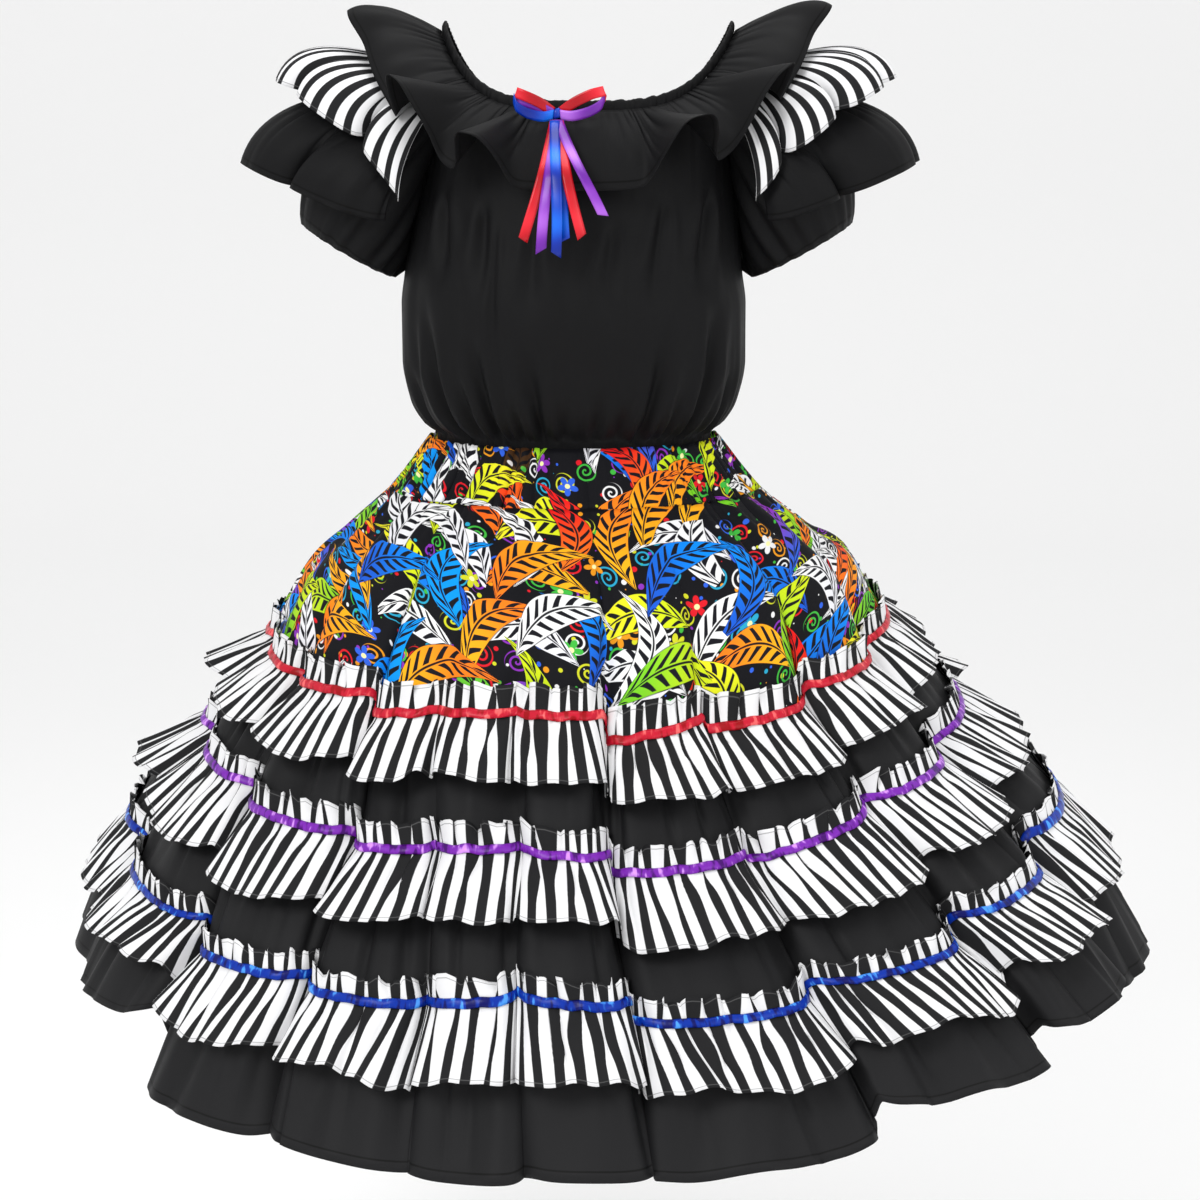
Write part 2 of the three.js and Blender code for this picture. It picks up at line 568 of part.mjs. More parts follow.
// How far in front the tails hang, over the neck ruffle.
const HANG = [
  { z: 170, front: 168 },
  { z: 205, front: 169 },
  { z: 238, front: 163 },
  { z: 262, front: 141 },
  { z: 288, front: 111 },
];
TAILS.forEach(({ name, x, z, cloth }, i) => {
  const top = V(KNOT.x + 0.06 * (x - KNOT.x), 0, KNOT.z - 5.2 - (i > 4 ? 0.5 : 0));
  const heights = [top.z, 262, 238, 222, z];
  const path = heights.map((height) => {
    const share = (top.z - height) / (top.z - z);
    return V(lerp(top.x, x, share), -look(HANG, "front", height) - 1.3 * i, height);
  });
  piece(name, strip(path, V(1, 0, 0), 8, 0.8), cloth);
});

export default dress;
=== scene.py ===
"""Looks of the square dance dress: fine cloth, stripes, print, ribbons, light and camera."""

import math

import bpy
import numpy as np
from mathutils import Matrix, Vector


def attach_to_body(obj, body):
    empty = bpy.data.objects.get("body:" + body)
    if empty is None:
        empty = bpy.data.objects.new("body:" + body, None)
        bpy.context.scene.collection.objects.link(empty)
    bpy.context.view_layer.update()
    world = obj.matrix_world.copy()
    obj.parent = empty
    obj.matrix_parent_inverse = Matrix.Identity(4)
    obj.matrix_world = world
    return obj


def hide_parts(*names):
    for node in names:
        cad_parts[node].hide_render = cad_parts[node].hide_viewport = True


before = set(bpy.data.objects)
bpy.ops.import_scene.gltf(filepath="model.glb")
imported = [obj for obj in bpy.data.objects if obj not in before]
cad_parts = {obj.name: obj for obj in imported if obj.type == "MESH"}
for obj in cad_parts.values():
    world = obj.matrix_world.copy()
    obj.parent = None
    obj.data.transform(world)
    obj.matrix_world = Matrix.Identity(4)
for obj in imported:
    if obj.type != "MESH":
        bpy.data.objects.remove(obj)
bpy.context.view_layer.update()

MM = 0.001
TAU = 2 * math.pi

# ---- sizes, in mm
HEADER, DROP = 22.0, 68.0  # ruffle above and below its gathering line
RIBBON_CUT = 0.010  # width of the satin ribbon as cut, in metres
LIFT = 0.8  # between a panel and the ruffle on it

# Rings of the skirt: half width, half depth, height, shift to the left, fold depth, fold column.
RINGS = np.array([
    (131.8, 100.8, 0, 0, 2.0, 0.0),
    (169, 138, -48, 1, 2.6, 0.0),
    (210, 184, -86, 4, 4.0, 0.0),
    (243, 226, -122, 6, 6.0, 0.4),
    (280, 277, -200, 2, 9.0, 1.0),
    (343, 341, -302, 6, 13.0, 2.0),
    (422, 419, -401, 16, 17.0, 3.0),
    (457, 453, -460, 24, 20.0, 3.5),
    (488, 485, -518, 32, 22.0, 4.0),
], float)
# Fold lines: angles at ruffles 1, 2, 3 and the hem; depth; rise after the line (start, end) at each.
FOLDS = [
    ((-80, -80, -78, -76), 0.5, ((14, 2), (30, 18), (28, 18), (40, 66))),
    ((-60, -57, -51, -53), 1.0, ((0, 4), (7, 3), (0, 2), (5, 0))),
    ((-38, -33, -33, -34), 1.0, ((-12, -3), (-5, 0), (-4, -6), (4, -8))),
    ((-24, -20, -18, -19), 0.5, ((-3, 0), (2, 6), (-3, 7), (-8, -6))),
    ((-10, -8, -8, -8), 0.45, ((0, 0), (5, 0), (10, 3), (0, 2))),
    ((5, 4, 4, 4), 1.15, ((-25, -8), (-14, -8), (-11, -9), (-3, 12))),
    ((23, 24, 25, 26), 0.9, ((-19, -8), (-14, 14), (5, 10), (42, 32))),
    ((46, 46, 47, 49), 1.0, ((4, 13), (18, 30), (30, 37), (60, 66))),
    ((71, 70, 69, 67), 0.8, ((22, 44), (38, 72), (60, 80), (40, 60))),
    ((110, 110, 110, 109), 0.9, ((44, 36), (74, 66), (96, 80), (92, 84))),
    ((129, 128, 130, 129), 0.8, ((34, 18), (64, 40), (76, 50), (80, 56))),
    ((147, 149, 148, 149), 1.0, ((12, 6), (28, 14), (40, 20), (46, 26))),
    ((166, 165, 167, 166), 0.6, ((-4, -8), (0, 4), (4, 0), (8, 10))),
    ((184, 185, 184, 186), 1.1, ((6, 0), (8, 2), (10, 4), (18, 8))),
    ((203, 202, 204, 203), 0.7, ((-8, -2), (-2, 6), (0, 10), (6, 22))),
    ((222, 223, 221, 222), 1.0, ((4, 4), (12, 8), (14, 10), (28, 18))),
    ((241, 240, 242, 241), 0.8, ((-4, 2), (6, 14), (10, 20), (20, 36))),
    ((260, 261, 260, 261), 0.9, ((16, 18), (38, 36), (52, 44), (46, 42))),
]
N = len(FOLDS)
FOLD_AT, FOLD_DEEP, FOLD_RISE = (np.array(column, float) for column in zip(*FOLDS))
FOLD_STEP = np.interp(FOLD_DEEP, (0.5, 0.8), (0.26, 0.075))  # share of a fold over which its rise changes
SEAM = 8.5  # side seam, in fold coordinates; the other one is at -0.5 and at N - 0.5
HALVES = {"front": (-0.5, SEAM), "back": (SEAM, N - 0.5)}

# Torso under the blouse: height, half width, half depth in front and at the back.
TORSO = np.array([
    (-14, 125.5, 94.5, 94.5),
    (3, 126, 95, 95),
    (14, 138, 108, 104),
    (34, 150, 120, 112),
    (70, 157, 129, 117),
    (120, 157, 137, 119),
    (152, 153, 134, 118),
    (200, 149, 124, 115),
    (260, 142, 110, 106),
    (302, 136, 98, 96),
    (380, 127, 90, 88),
], float)
NECK_FRONT, NECK_BACK, NECK_SIDE, NECK_POWER = 302.0, 296.0, 372.0, 3.7  # heights, and how square the neck is
CASING, CASING_GAP = 11.0, 0.4  # depth of the neck casing, and the seam below it
CORNER, UNDERARM = 50.0, 150.0  # angle of the raglan seam's top end, height of its lower one
GIRTH = 140.0  # mean radius of the blouse


# ---- small helpers
def smooth(x, lo=0.0, hi=1.0):
    t = np.clip((x - lo) / (hi - lo), 0, 1)
    return t * t * (3 - 2 * t)


def mix(a, b, t):
    return a + (b - a) * t


def hermite(x, xs, ys):
    """Smooth curve through a table, with tangents that never overshoot."""
    xs, ys = np.asarray(xs, float), np.asarray(ys, float)
    d = np.diff(ys) / np.diff(xs)
    m = np.empty_like(ys)
    m[0], m[-1] = d[0], d[-1]
    same = d[:-1] * d[1:] > 0
    m[1:-1] = np.where(same, 2 * d[:-1] * d[1:] / np.where(same, d[:-1] + d[1:], 1), 0)
    i = np.clip(np.searchsorted(xs, x, side="right") - 1, 0, len(xs) - 2)
    h = xs[i + 1] - xs[i]
    t = np.clip((x - xs[i]) / h, 0, 1)
    return (
        (2 * t**3 - 3 * t**2 + 1) * ys[i]
        + (t**3 - 2 * t**2 + t) * h * m[i]
        + (3 * t**2 - 2 * t**3) * ys[i + 1]
        + (t**3 - t**2) * h * m[i + 1]
    )


def unit(v):
    return v / np.maximum(np.linalg.norm(v, axis=-1, keepdims=True), 1e-9)


def grid_normals(p):
    return unit(np.cross(np.gradient(p, axis=0), np.gradient(p, axis=1)))


def ripples(count, lo, hi, seed):
    """Uneven waves: returns f(u) built of sines with wavelengths between lo and hi."""
    r = np.random.default_rng(seed)
    waves = [(TAU / r.uniform(lo, hi), r.uniform(0, TAU), r.uniform(0.5, 1)) for _ in range(count)]
    total = sum(a for _, _, a in waves) * 0.6
    return lambda u: sum(a * np.sin(k * u + ph) for k, ph, a in waves) / total


def gathers(u, v, seed, every, reach, low=0.45, slim=0.40):
    """Small folds pinched in at a gathered edge, along columns u (mm) and rows v (0 at the gathers).

    Returns how far each point sinks (0 to about 1) and how far it is pulled sideways in mm."""
    r = np.random.default_rng(seed)
    folds = []
    x = u[0] + 0.5 * every
    while x < u[-1] - 0.4 * every:
        step = every * r.uniform(low, 2 - low)
        deep, long_ = r.uniform(0.45, 1.0), reach * r.choice([0.35, 0.6, 1.0, 1.7], p=[0.3, 0.35, 0.25, 0.1])
        folds.append((x, step * slim, deep, long_))
        r.uniform()  # a spare draw, which keeps the next fold's in their places
        x += step
    place, wide, deep, long_ = (column[:, None] for column in np.array(folds).T)
    d = (u - place) / wide
    near = np.exp(-(d**2))
    fade_out = np.exp(-((np.maximum(v, 0)[:, None] / long_.T) ** 2)) * deep.T
    return fade_out @ near, -fade_out @ (near * d * wide)


def arc(p, axis=1):
    """Running length of a grid's columns or rows."""
    step = np.linalg.norm(np.diff(p, axis=axis), axis=-1)
    start = np.zeros_like(np.take(step, [0], axis=axis))
    return np.concatenate([start, np.cumsum(step, axis=axis)], axis=axis)


def calm_ends(cols, over):
    """0 at both ends of a row of columns, rising to 1 over some of them, so that halves meet."""
    return smooth(np.minimum(np.arange(cols), np.arange(cols)[::-1]) / over)


def round_about(angle, up=0.0):
    """Level direction at an angle in degrees from the front, leaned up by a share."""
    a = np.radians(angle)
    return np.stack([np.sin(a), -np.cos(a), 0 * a + up], -1)


def flat_of(u, v):
    """Flat coordinates from u and v, each a grid, or a row of columns u and a column of rows v."""
    return np.stack(np.broadcast_arrays(np.atleast_2d(u), v[:, None] if v.ndim == 1 else v), -1)


# ---- meshes
def mesh_of(name, points, quads, uv, material):
    mesh = bpy.data.meshes.new(name)
    mesh.vertices.add(len(points))
    mesh.vertices.foreach_set("co", np.asarray(points, np.float32).ravel())
    mesh.loops.add(quads.size)
    mesh.loops.foreach_set("vertex_index", quads.ravel().astype(np.int32))
    mesh.polygons.add(len(quads))
    mesh.polygons.foreach_set("loop_start", np.arange(0, quads.size, 4, dtype=np.int32))
    mesh.polygons.foreach_set("use_smooth", np.ones(len(quads), bool))
    mesh.update(calc_edges=True)
    layer = mesh.uv_layers.new(name="cloth")
    layer.data.foreach_set("uv", np.asarray(uv, np.float32)[quads.ravel()].ravel())
    mesh.validate()
    mesh.materials.append(material)
    obj = bpy.data.objects.new("cloth_" + name, mesh)
    bpy.context.scene.collection.objects.link(obj)
    return obj


def shell(name, outer, uv, material, thickness):
    """Closed thin shell: outer is a grid of points in mm, uv its flat coordinates in mm."""
    rows, cols = outer.shape[:2]
    inner = outer - grid_normals(outer) * thickness
    points = np.concatenate([outer.reshape(-1, 3), inner.reshape(-1, 3)]) * MM
    uvs = np.concatenate([uv.reshape(-1, 2), uv.reshape(-1, 2)]) * MM
    ids = np.arange(rows * cols).reshape(rows, cols)
    a, b, c, d = ids[:-1, :-1], ids[1:, :-1], ids[1:, 1:], ids[:-1, 1:]
    face = np.stack([a, b, c, d], -1).reshape(-1, 4)
    back = np.stack([a, d, c, b], -1).reshape(-1, 4) + rows * cols
    rims = []
    for edge in (ids[0, ::-1], ids[-1], ids[:, 0], ids[::-1, -1]):
        e, f = edge[:-1], edge[1:]
        rims.append(np.stack([f, e, e + rows * cols, f + rows * cols], -1))
    return mesh_of(name, points, np.concatenate([face, back, *rims]), uvs, material)


def surface(p):
    """Area of a grid in square metres."""
    a, b = p[1:, 1:] - p[:-1, :-1], p[1:, :-1] - p[:-1, 1:]
    return float(np.linalg.norm(np.cross(a, b), axis=-1).sum()) / 2 * MM**2


LEAST_AREA = 0.31  # of the cut's rectangle


def cloth(name, p, uv, material, thickness, held, rests_on=(), down=None):
    """A piece of cloth from its outer grid p in mm, whose longest row and column give the size of its cut.

    down is the depth of the cut in metres where the grid doesn't give it."""
    obj = shell(name, p, uv, material, thickness)
    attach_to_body(obj, "root")
    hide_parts(name)
    across = float(arc(p, 1)[:, -1].max()) * MM
    down = down or float(arc(p, 0)[-1].max()) * MM
    whole = across * down
    area = min(max(surface(p), LEAST_AREA * whole), whole)


# ---- materials
THREADS = 9000.0  # turns of the weave's waves, in radians a metre
STRIPE = 0.0166  # one black and one white stripe, in metres
WHITE_STRIPE, BLACK_STRIPE = (0.80, 0.80, 0.81, 1), (0.013, 0.013, 0.014, 1)
INK = (0.004, 0.004, 0.006, 1)  # ground of the print
VEIN = (0.006, 0.006, 0.010, 1)


class Number:
    """A number inside a material: every sign between two of them makes a Math node."""

    def __init__(self, material, socket):
        self.material, self.socket = material, socket

    def __add__(self, other):
        return self.material.math("ADD", self, other)

    def __sub__(self, other):
        return self.material.math("SUBTRACT", self, other)

    def __rsub__(self, other):
        return self.material.math("SUBTRACT", other, self)

    def __mul__(self, other):
        return self.material.math("MULTIPLY", self, other)

    def __truediv__(self, other):
        return self.material.math("DIVIDE", self, other)

    def __abs__(self):
        return self.material.math("ABSOLUTE", self)


class Material:
    """A Principled material, with short names for building its node graph."""

    def __init__(self, name, rough, shine=None):
        self.made = bpy.data.materials.new(name)
        self.made.use_nodes = True
        self.nodes, self.links = self.made.node_tree.nodes, self.made.node_tree.links
        self.nodes.clear()
        out = self.nodes.new("ShaderNodeOutputMaterial")
        self.bsdf = self.nodes.new("ShaderNodeBsdfPrincipled")
        self.links.new(self.bsdf.outputs[0], out.inputs[0])
        self.put(self.bsdf.inputs["Roughness"], rough)
        if shine is not None:
            self.put(self.bsdf.inputs["Specular IOR Level"], shine)

    def put(self, socket, value):
        value = value.socket if isinstance(value, Number) else value
        if isinstance(value, bpy.types.NodeSocket):
            self.links.new(value, socket)
        else:
            socket.default_value = value

    def node(self, kind, inputs, **settings):
        """A new node: inputs gives a value for each socket, by its name or place."""
        n = self.nodes.new("ShaderNode" + kind)
        for key, value in settings.items():
            setattr(n, key, value)
        for at, value in dict(inputs).items():
            self.put(n.inputs[at], value)
        return n

    def math(self, operation, *values):
        return Number(self, self.node("Math", enumerate(values), operation=operation).outputs[0])

    def above(self, x, edge, soft):
        """0 below the edge and 1 above it, with a soft border."""
        span = {"Value": x, "From Min": edge - soft, "From Max": edge + soft}
        return Number(self, self.node("MapRange", span, interpolation_type="SMOOTHSTEP").outputs["Result"])

    def below(self, x, edge, soft):
        return 1.0 - self.above(x, edge, soft)

    def blend(self, factor, a, b):
        return self.node("Mix", {0: factor, 6: a, 7: b}, data_type="RGBA").outputs[2]

    def parts(self, kind, value):
        return [Number(self, s) for s in self.node("Separate" + kind, {0: value}).outputs]

    def flat(self):
        """The cloth's flat coordinates in metres, across and down."""
        return self.parts("XYZ", self.nodes.new("ShaderNodeUVMap").outputs[0])[:2]

    def vector(self, *xyz):
        return self.node("CombineXYZ", enumerate(xyz)).outputs[0]

    def noise(self, vector, scale, detail, rough=0.5):
        inputs = {"Vector": vector, "Scale": scale, "Detail": detail, "Roughness": rough}
        return Number(self, self.node("TexNoise", inputs).outputs["Fac"])

    def palette(self, value, colours):
        """One of the colours for a value from 0 to 1."""
        ramp = self.node("ValToRGB", {0: value})
        ramp.color_ramp.interpolation = "CONSTANT"
        stops = ramp.color_ramp.elements
        for i, colour in enumerate(colours):
            stop = stops[i] if i < 2 else stops.new(i / len(colours))
            stop.position, stop.color = i / len(colours), (*colour, 1)
        return ramp.outputs[0]

    def colour(self, value):
        self.put(self.bsdf.inputs["Base Color"], value)

    def bump(self, height, distance, strength):
        n = self.node("Bump", {"Strength": strength, "Distance": distance, "Height": height})
        self.links.new(n.outputs[0], self.bsdf.inputs["Normal"])

    def weave(self, strength):
        """Fine plain weave and soft unevenness."""
        u, v = self.flat()
        threads = self.math("SINE", u * THREADS) * self.math("SINE", v * THREADS)
        crumple = self.noise(self.vector(u, v), 38.0, 4.0, 0.6)
        self.bump(threads * 0.03 + crumple, 0.0016, strength)


def black_cloth(name, tone, shine, hem=None):
    """Black broadcloth, with a line of stitches at v = hem, in metres."""
    m = Material(name, 0.6, shine)
    colour = (tone, tone, tone * 1.08, 1)
    if hem is not None:
        line = m.below(abs(m.flat()[1] - hem), 0.0007, 0.0003)
        colour = m.blend(line, colour, (tone * 0.25, tone * 0.25, tone * 0.25, 1))
    m.colour(colour)
    m.weave(0.22)
    return m.made


def striped_cloth(name, *hems):
    m = Material(name, 0.75, 0.14)
    u, v = m.flat()
    phase = m.math("FRACT", u / STRIPE)
    dark = m.above(phase, 0.02, 0.018) * m.below(phase, 0.49, 0.018)
    colour = m.blend(dark, WHITE_STRIPE, BLACK_STRIPE)
    for hem in hems:
        line = m.below(abs(v - hem), 0.0004, 0.0002)
        colour = m.blend(line * 0.55, colour, (0.12, 0.12, 0.12, 1))
    m.colour(colour)
    m.weave(0.15)
    return m.made


def satin(name, painted_highlight, middle, dark, puckered=True):
    """Shiny ribbon with painted highlights and painted shade mixed into its colour by noise: puckered by its
    stitching, or smooth with long soft painted lights.
    """
    m = Material(name, 0.32, 0.2 if puckered else 0.35)
    u, v = m.flat()
    streaks = m.vector(u, v * 0.35)
    if puckered:
        light = m.noise(streaks, 150.0, 2.0) * 0.62 + m.noise(m.vector(u), 44.0, 0.0) * 0.38
        shade_edge, highlight_edge, border, relief = 0.46, 0.575, 0.035, 0.6
    else:
        light = m.noise(streaks, 34.0, 0.0)
        shade_edge, highlight_edge, border, relief = 0.42, 0.62, 0.22, 0.12
    # painted shade and painted highlights: the noise mixes the middle colour with a dark painted shade tone
    # and a bright painted highlight tone; the same noise also drives the bump
    low = m.blend(m.above(light, shade_edge, border), dark, middle)
    m.colour(m.blend(m.above(light, highlight_edge, border), low, painted_highlight))
    m.bump(light, 0.0012, relief)
    return m.made


# Colours of the print's leaves: each runs from the first to the second along its length.
LEAF_COLOURS = [
    ((0.86, 0.86, 0.86), (0.86, 0.86, 0.86)),
    ((0.0, 0.25, 0.88), (0.01, 0.10, 0.62)),
    ((0.80, 0.01, 0.01), (0.95, 0.18, 0.01)),
    ((0.86, 0.86, 0.86), (0.80, 0.80, 0.84)),
    ((0.62, 0.75, 0.01), (0.18, 0.60, 0.02)),
    ((0.95, 0.42, 0.01), (0.95, 0.20, 0.01)),
    ((0.86, 0.86, 0.86), (0.86, 0.86, 0.86)),
    ((0.30, 0.03, 0.50), (0.02, 0.12, 0.70)),
    ((0.85, 0.80, 0.02), (0.62, 0.75, 0.01)),
    ((0.10, 0.55, 0.04), (0.35, 0.70, 0.02)),
    ((0.0, 0.30, 0.88), (0.0, 0.30, 0.88)),
    ((0.95, 0.20, 0.01), (0.95, 0.45, 0.01)),
]
SMALL_COLOURS = [
    (0.03, 0.12, 0.70), (0.70, 0.01, 0.02), (0.05, 0.45, 0.05), (0.25, 0.03, 0.45),
    (0.02, 0.35, 0.55), (0.80, 0.30, 0.01), (0.80, 0.80, 0.80), (0.60, 0.62, 0.02),
]
# Layers of leaves, at different angles: cell, turn, shift, half length, half width and bend, in metres.
LEAF_LAYERS = [
    ((0.112, 0.062), 0.4, (2.3, 9.1), 0.050, 0.0165, 0.030),
    ((0.118, 0.066), 2.1, (8.7, 4.2), 0.054, 0.0175, -0.034),
    ((0.108, 0.064), 1.2, (14.9, 6.6), 0.048, 0.0160, 0.036),
    ((0.122, 0.070), 2.8, (4.4, 12.3), 0.055, 0.0180, -0.028),
]


def cells(m, size, turn, shift, spread, swing):
    """Scattered places in cells of size (long, wide) in metres, lying at an angle.

    Gives local coordinates in metres, turned by up to swing, and two random numbers."""
    u, v = m.flat()
    co, si = math.cos(turn), math.sin(turn)
    at = m.vector((u * co + v * si) / size[0] + shift[0], (v * co - u * si) / size[1] + shift[1])
    inputs = {"Vector": at, "Scale": 1.0, "Randomness": spread}
    cell = m.node("TexVoronoi", inputs, voronoi_dimensions="2D", feature="F1")
    offset = m.node("VectorMath", {0: at, 1: cell.outputs["Position"]}, operation="SUBTRACT")
    x, y, _ = m.parts("XYZ", offset.outputs[0])
    x, y = x * size[0], y * size[1]
    r, s, t = m.parts("Color", cell.outputs["Color"])
    angle = (r - 0.5) * (2 * swing)
    co, si = m.math("COSINE", angle), m.math("SINE", angle)
    return x * co + y * si, y * co - x * si, s, t


def leaf(m, x, y, half_length, half_width, bend):
    """A curved leaf: (mask, place along it from -1 to 1, place across it from -1 to 1)."""
    along = x / half_length
    square = along * along
    across = y - (square - 0.35) * bend
    # blunt at one end and pointed at the other
    room = (1.0 - square) * half_width * (along * 0.35 + 1.0)
    ratio = across / m.math("MAXIMUM", room, 0.0001)
    mask = m.below(abs(ratio), 0.94, 0.05) * m.above(room, 0.0006, 0.0005)
    return mask, along, ratio


def leaf_colour(m, along, across, t):
    """Colour of a leaf, with a line along its middle, slanted veins and a thin dark border."""
    one, two = (m.palette(t, tones) for tones in zip(*LEAF_COLOURS))
    body = m.blend(m.above(along, 0.1, 0.7), one, two)
    aside = abs(across)
    spine = m.below(aside, 0.055, 0.025)
    stroke = abs(m.math("FRACT", along * 4.6 + aside * 1.3) - 0.5)
    vein = m.above(stroke, aside * 0.16 + 0.22, 0.03) * m.above(aside, 0.12, 0.02)
    dark = m.math("MAXIMUM", spine, vein) * m.below(aside, 0.80, 0.03)
    return m.blend(m.below(aside, 0.90, 0.02), INK, m.blend(dark, body, VEIN))


def printed_cloth(name):
    """A made-up print on black: big curved leaves with veins over curls, blossoms and dots."""
    m = Material(name, 0.7, 0.14)

    def far(x, y):
        return m.math("SQRT", x * x + y * y)

    # dots
    x, y, s, t = cells(m, (0.015, 0.015), 0.3, (3.1, 7.7), 0.9, 3.1)
    colour = m.blend(m.below(far(x, y), s * 0.0028, 0.0003), INK, m.palette(t, SMALL_COLOURS))

    # curls: spiral strokes
    x, y, s, t = cells(m, (0.032, 0.032), 0.9, (5.3, 2.9), 0.8, 3.1)
    dist = far(x, y)
    ring = m.math("FRACT", dist * 190.0 + m.math("ARCTAN2", y, x) / TAU)
    curl = m.below(abs(ring - 0.5), 0.17, 0.05) * m.below(dist, 0.0105, 0.0004)
    colour = m.blend(curl, colour, m.palette(t, SMALL_COLOURS))

    # blossoms: five petals round a yellow middle
    x, y, s, t = cells(m, (0.047, 0.047), 0.5, (1.2, 8.4), 0.8, 3.1)
    dist = far(x, y)
    petals = abs(m.math("COSINE", m.math("ARCTAN2", y, x) * 2.5))
    shown = m.above(s, 0.3, 0.001)
    flower = m.below(dist, petals * 0.0065 + 0.0035, 0.0005) * shown
    colour = m.blend(flower, colour, m.palette(t, SMALL_COLOURS))
    colour = m.blend(m.below(dist, 0.0024, 0.0004) * shown, colour, (0.9, 0.85, 0.4, 1))

    for i, (size, turn, shift, half, wide, bend) in enumerate(LEAF_LAYERS):
        x, y, s, t = cells(m, size, turn, shift, 0.62, 0.6)
        mask, along, across = leaf(m, x, y, half, wide, bend)
        if i:  # some leaves of the upper layers are left out
            mask = mask * m.above(s, 0.12, 0.001)
        colour = m.blend(mask, colour, leaf_colour(m, along, across, t))
    m.colour(colour)
    m.weave(0.2)
    return m.made


BLACK = black_cloth("black_broadcloth", 0.0066, 0.10)
BLACK_HEM = black_cloth("black_broadcloth_hem", 0.0066, 0.10, hem=0.006)
# the skirt's tiers use a lighter copy of the same black broadcloth: their higher tone is painted light,
# standing in for the brighter light on the skirt
TIER_BLACK = black_cloth("black_broadcloth_skirt", 0.0120, 0.16)
TIER_HEM = black_cloth("black_broadcloth_skirt_hem", 0.0120, 0.16, hem=0.008)
STRIPES = striped_cloth("striped_cotton", 0.003, (HEADER + DROP - 3) * MM)
STRIPES_ONE = striped_cloth("striped_cotton_one_hem", 0.003)
PRINT = printed_cloth("printed_cotton")
# Painted highlight, middle and painted shade tones of the bow, and of the skirt's ribbons, which are deeper
# and more broken.
BOW_TONES = {
    "red": ((0.88, 0.03, 0.05, 1), (0.62, 0.002, 0.012, 1), (0.33, 0.0, 0.005, 1)),
    "purple": ((0.52, 0.18, 0.80, 1), (0.24, 0.03, 0.50, 1), (0.10, 0.008, 0.26, 1)),
    "blue": ((0.01, 0.21, 0.95, 1), (0.0, 0.04, 0.52, 1), (0.0, 0.008, 0.17, 1)),
}
RIBBON_TONES = {
    "red": ((0.92, 0.13, 0.13, 1), (0.54, 0.008, 0.028, 1), (0.32, 0.0, 0.004, 1)),
    "purple": ((0.68, 0.29, 0.92, 1), (0.19, 0.018, 0.41, 1), (0.055, 0.0, 0.14, 1)),
    "blue": ((0.07, 0.33, 0.95, 1), (0.0, 0.028, 0.34, 1), (0.0, 0.002, 0.11, 1)),
}
RIBBON = {name: satin(name + "_satin", *tones) for name, tones in RIBBON_TONES.items()}
BOW = {name: satin(name + "_satin_bow", *tones, puckered=False) for name, tones in BOW_TONES.items()}


# ---- skirt surface
RING_I = np.arange(len(RINGS))
LAST = len(RINGS) - 1  # the hem


def fold_value(table, f, at):
    """Value of an (N, 4) table at fold number f and column `at`, 1 to 4."""
    k = np.mod(f, N).astype(int)
    i = np.clip(np.floor(at).astype(int), 1, 3)
    return mix(table[k, i - 1], table[k, i], np.clip(at - i, 0, 1))


# Share of its depth that each fold keeps at the hem.
HEM_DEEP = np.array([1, 1, 0.8, 0.55, 0.6, 0.42, 0.5, 1, 1, 1, 0.8, 1, 0.7, 0.8, 0.7, 1, 0.8, 1])


def lobe(t, deep):
    """Cloth between two fold lines: round where they are shallow, pinched into a valley where deep."""
    d = np.minimum(t, 1 - t)
    soft = 0.25 - np.cos(TAU * t) - 0.25 * np.cos(2 * TAU * t)
    sharp = 1 - 2 * np.exp(-((d / 0.11) ** 1.15))
    return mix(soft, sharp, 0.55 * smooth(deep, 0.5, 0.95))


# How far the cloth before each fold line lies over the cloth after it, in degrees at the hem.
OVERHANG = np.array(
    [0.3, -0.7, -0.9, 0, 0, 1.3, 0.9, 0.5, -0.4, 0.5, -0.6, 0.7, 0, 0.8, -0.5, 0.7, -0.6, 0.4]
)


def overhang(t, k, depth):
    """Turn of the cloth near a fold line, in degrees: it swings over the line and back under."""
    near = lambda y: 2.6 * y * np.exp(-2.2 * y)
    after, before = OVERHANG[k], OVERHANG[(k + 1) % N]
    end, begin = near((1 - t) / 0.1), near(t / 0.1)
    turn = np.where(before > 0, before * end, 0.35 * before * end)
    turn = turn + np.where(after < 0, after * begin, 0.35 * after * begin)
    return turn * depth / 20


def skirt(x, s):
    """Point of the skirt in mm at fold coordinate x and ring coordinate s (arrays of one shape)."""
    x, s = np.broadcast_arrays(np.asarray(x, float), np.asarray(s, float))
    rx, ry, z, lean, depth, at = (hermite(s, RING_I, RINGS[:, k]) for k in range(6))
    f = np.floor(x)
    t = x - f
    k = np.mod(f, N).astype(int)
    share = t - 0.11 * depth / 20 * np.sin(TAU * t)
    a0, a1 = (fold_value(FOLD_AT, g, at) + 360 * np.floor(g / N) for g in (f, f + 1))
    angle = np.radians(mix(a0, a1, share) + overhang(t, k, depth))
    deep = mix(FOLD_DEEP[k], FOLD_DEEP[(k + 1) % N], t)
    deep = deep * mix(1, mix(HEM_DEEP[k], HEM_DEEP[(k + 1) % N], t), smooth(s, 5.8, 8))
    nearer = np.where(t < 0.5, FOLD_DEEP[k], FOLD_DEEP[(k + 1) % N])
    start, end = (fold_value(FOLD_RISE[:, :, i], f, at) for i in (0, 1))
    level = mix(start, end, np.clip((t - 0.07) / 0.86, 0, 1))
    left = (start + fold_value(FOLD_RISE[:, :, 1], f - 1, at)) / 2
    right = (end + fold_value(FOLD_RISE[:, :, 0], f + 1, at)) / 2
    step_left, step_right = FOLD_STEP[k], FOLD_STEP[(k + 1) % N]
    rise = mix(mix(left, level, smooth(t / step_left)), right, 1 - smooth((1 - t) / step_right))
    out = depth * deep * lobe(t, nearer)
    x, y = lean + (rx + out) * np.sin(angle), -(ry + out) * np.cos(angle)
    return np.stack([x, y, z + rise * np.minimum(at, 1)], -1)


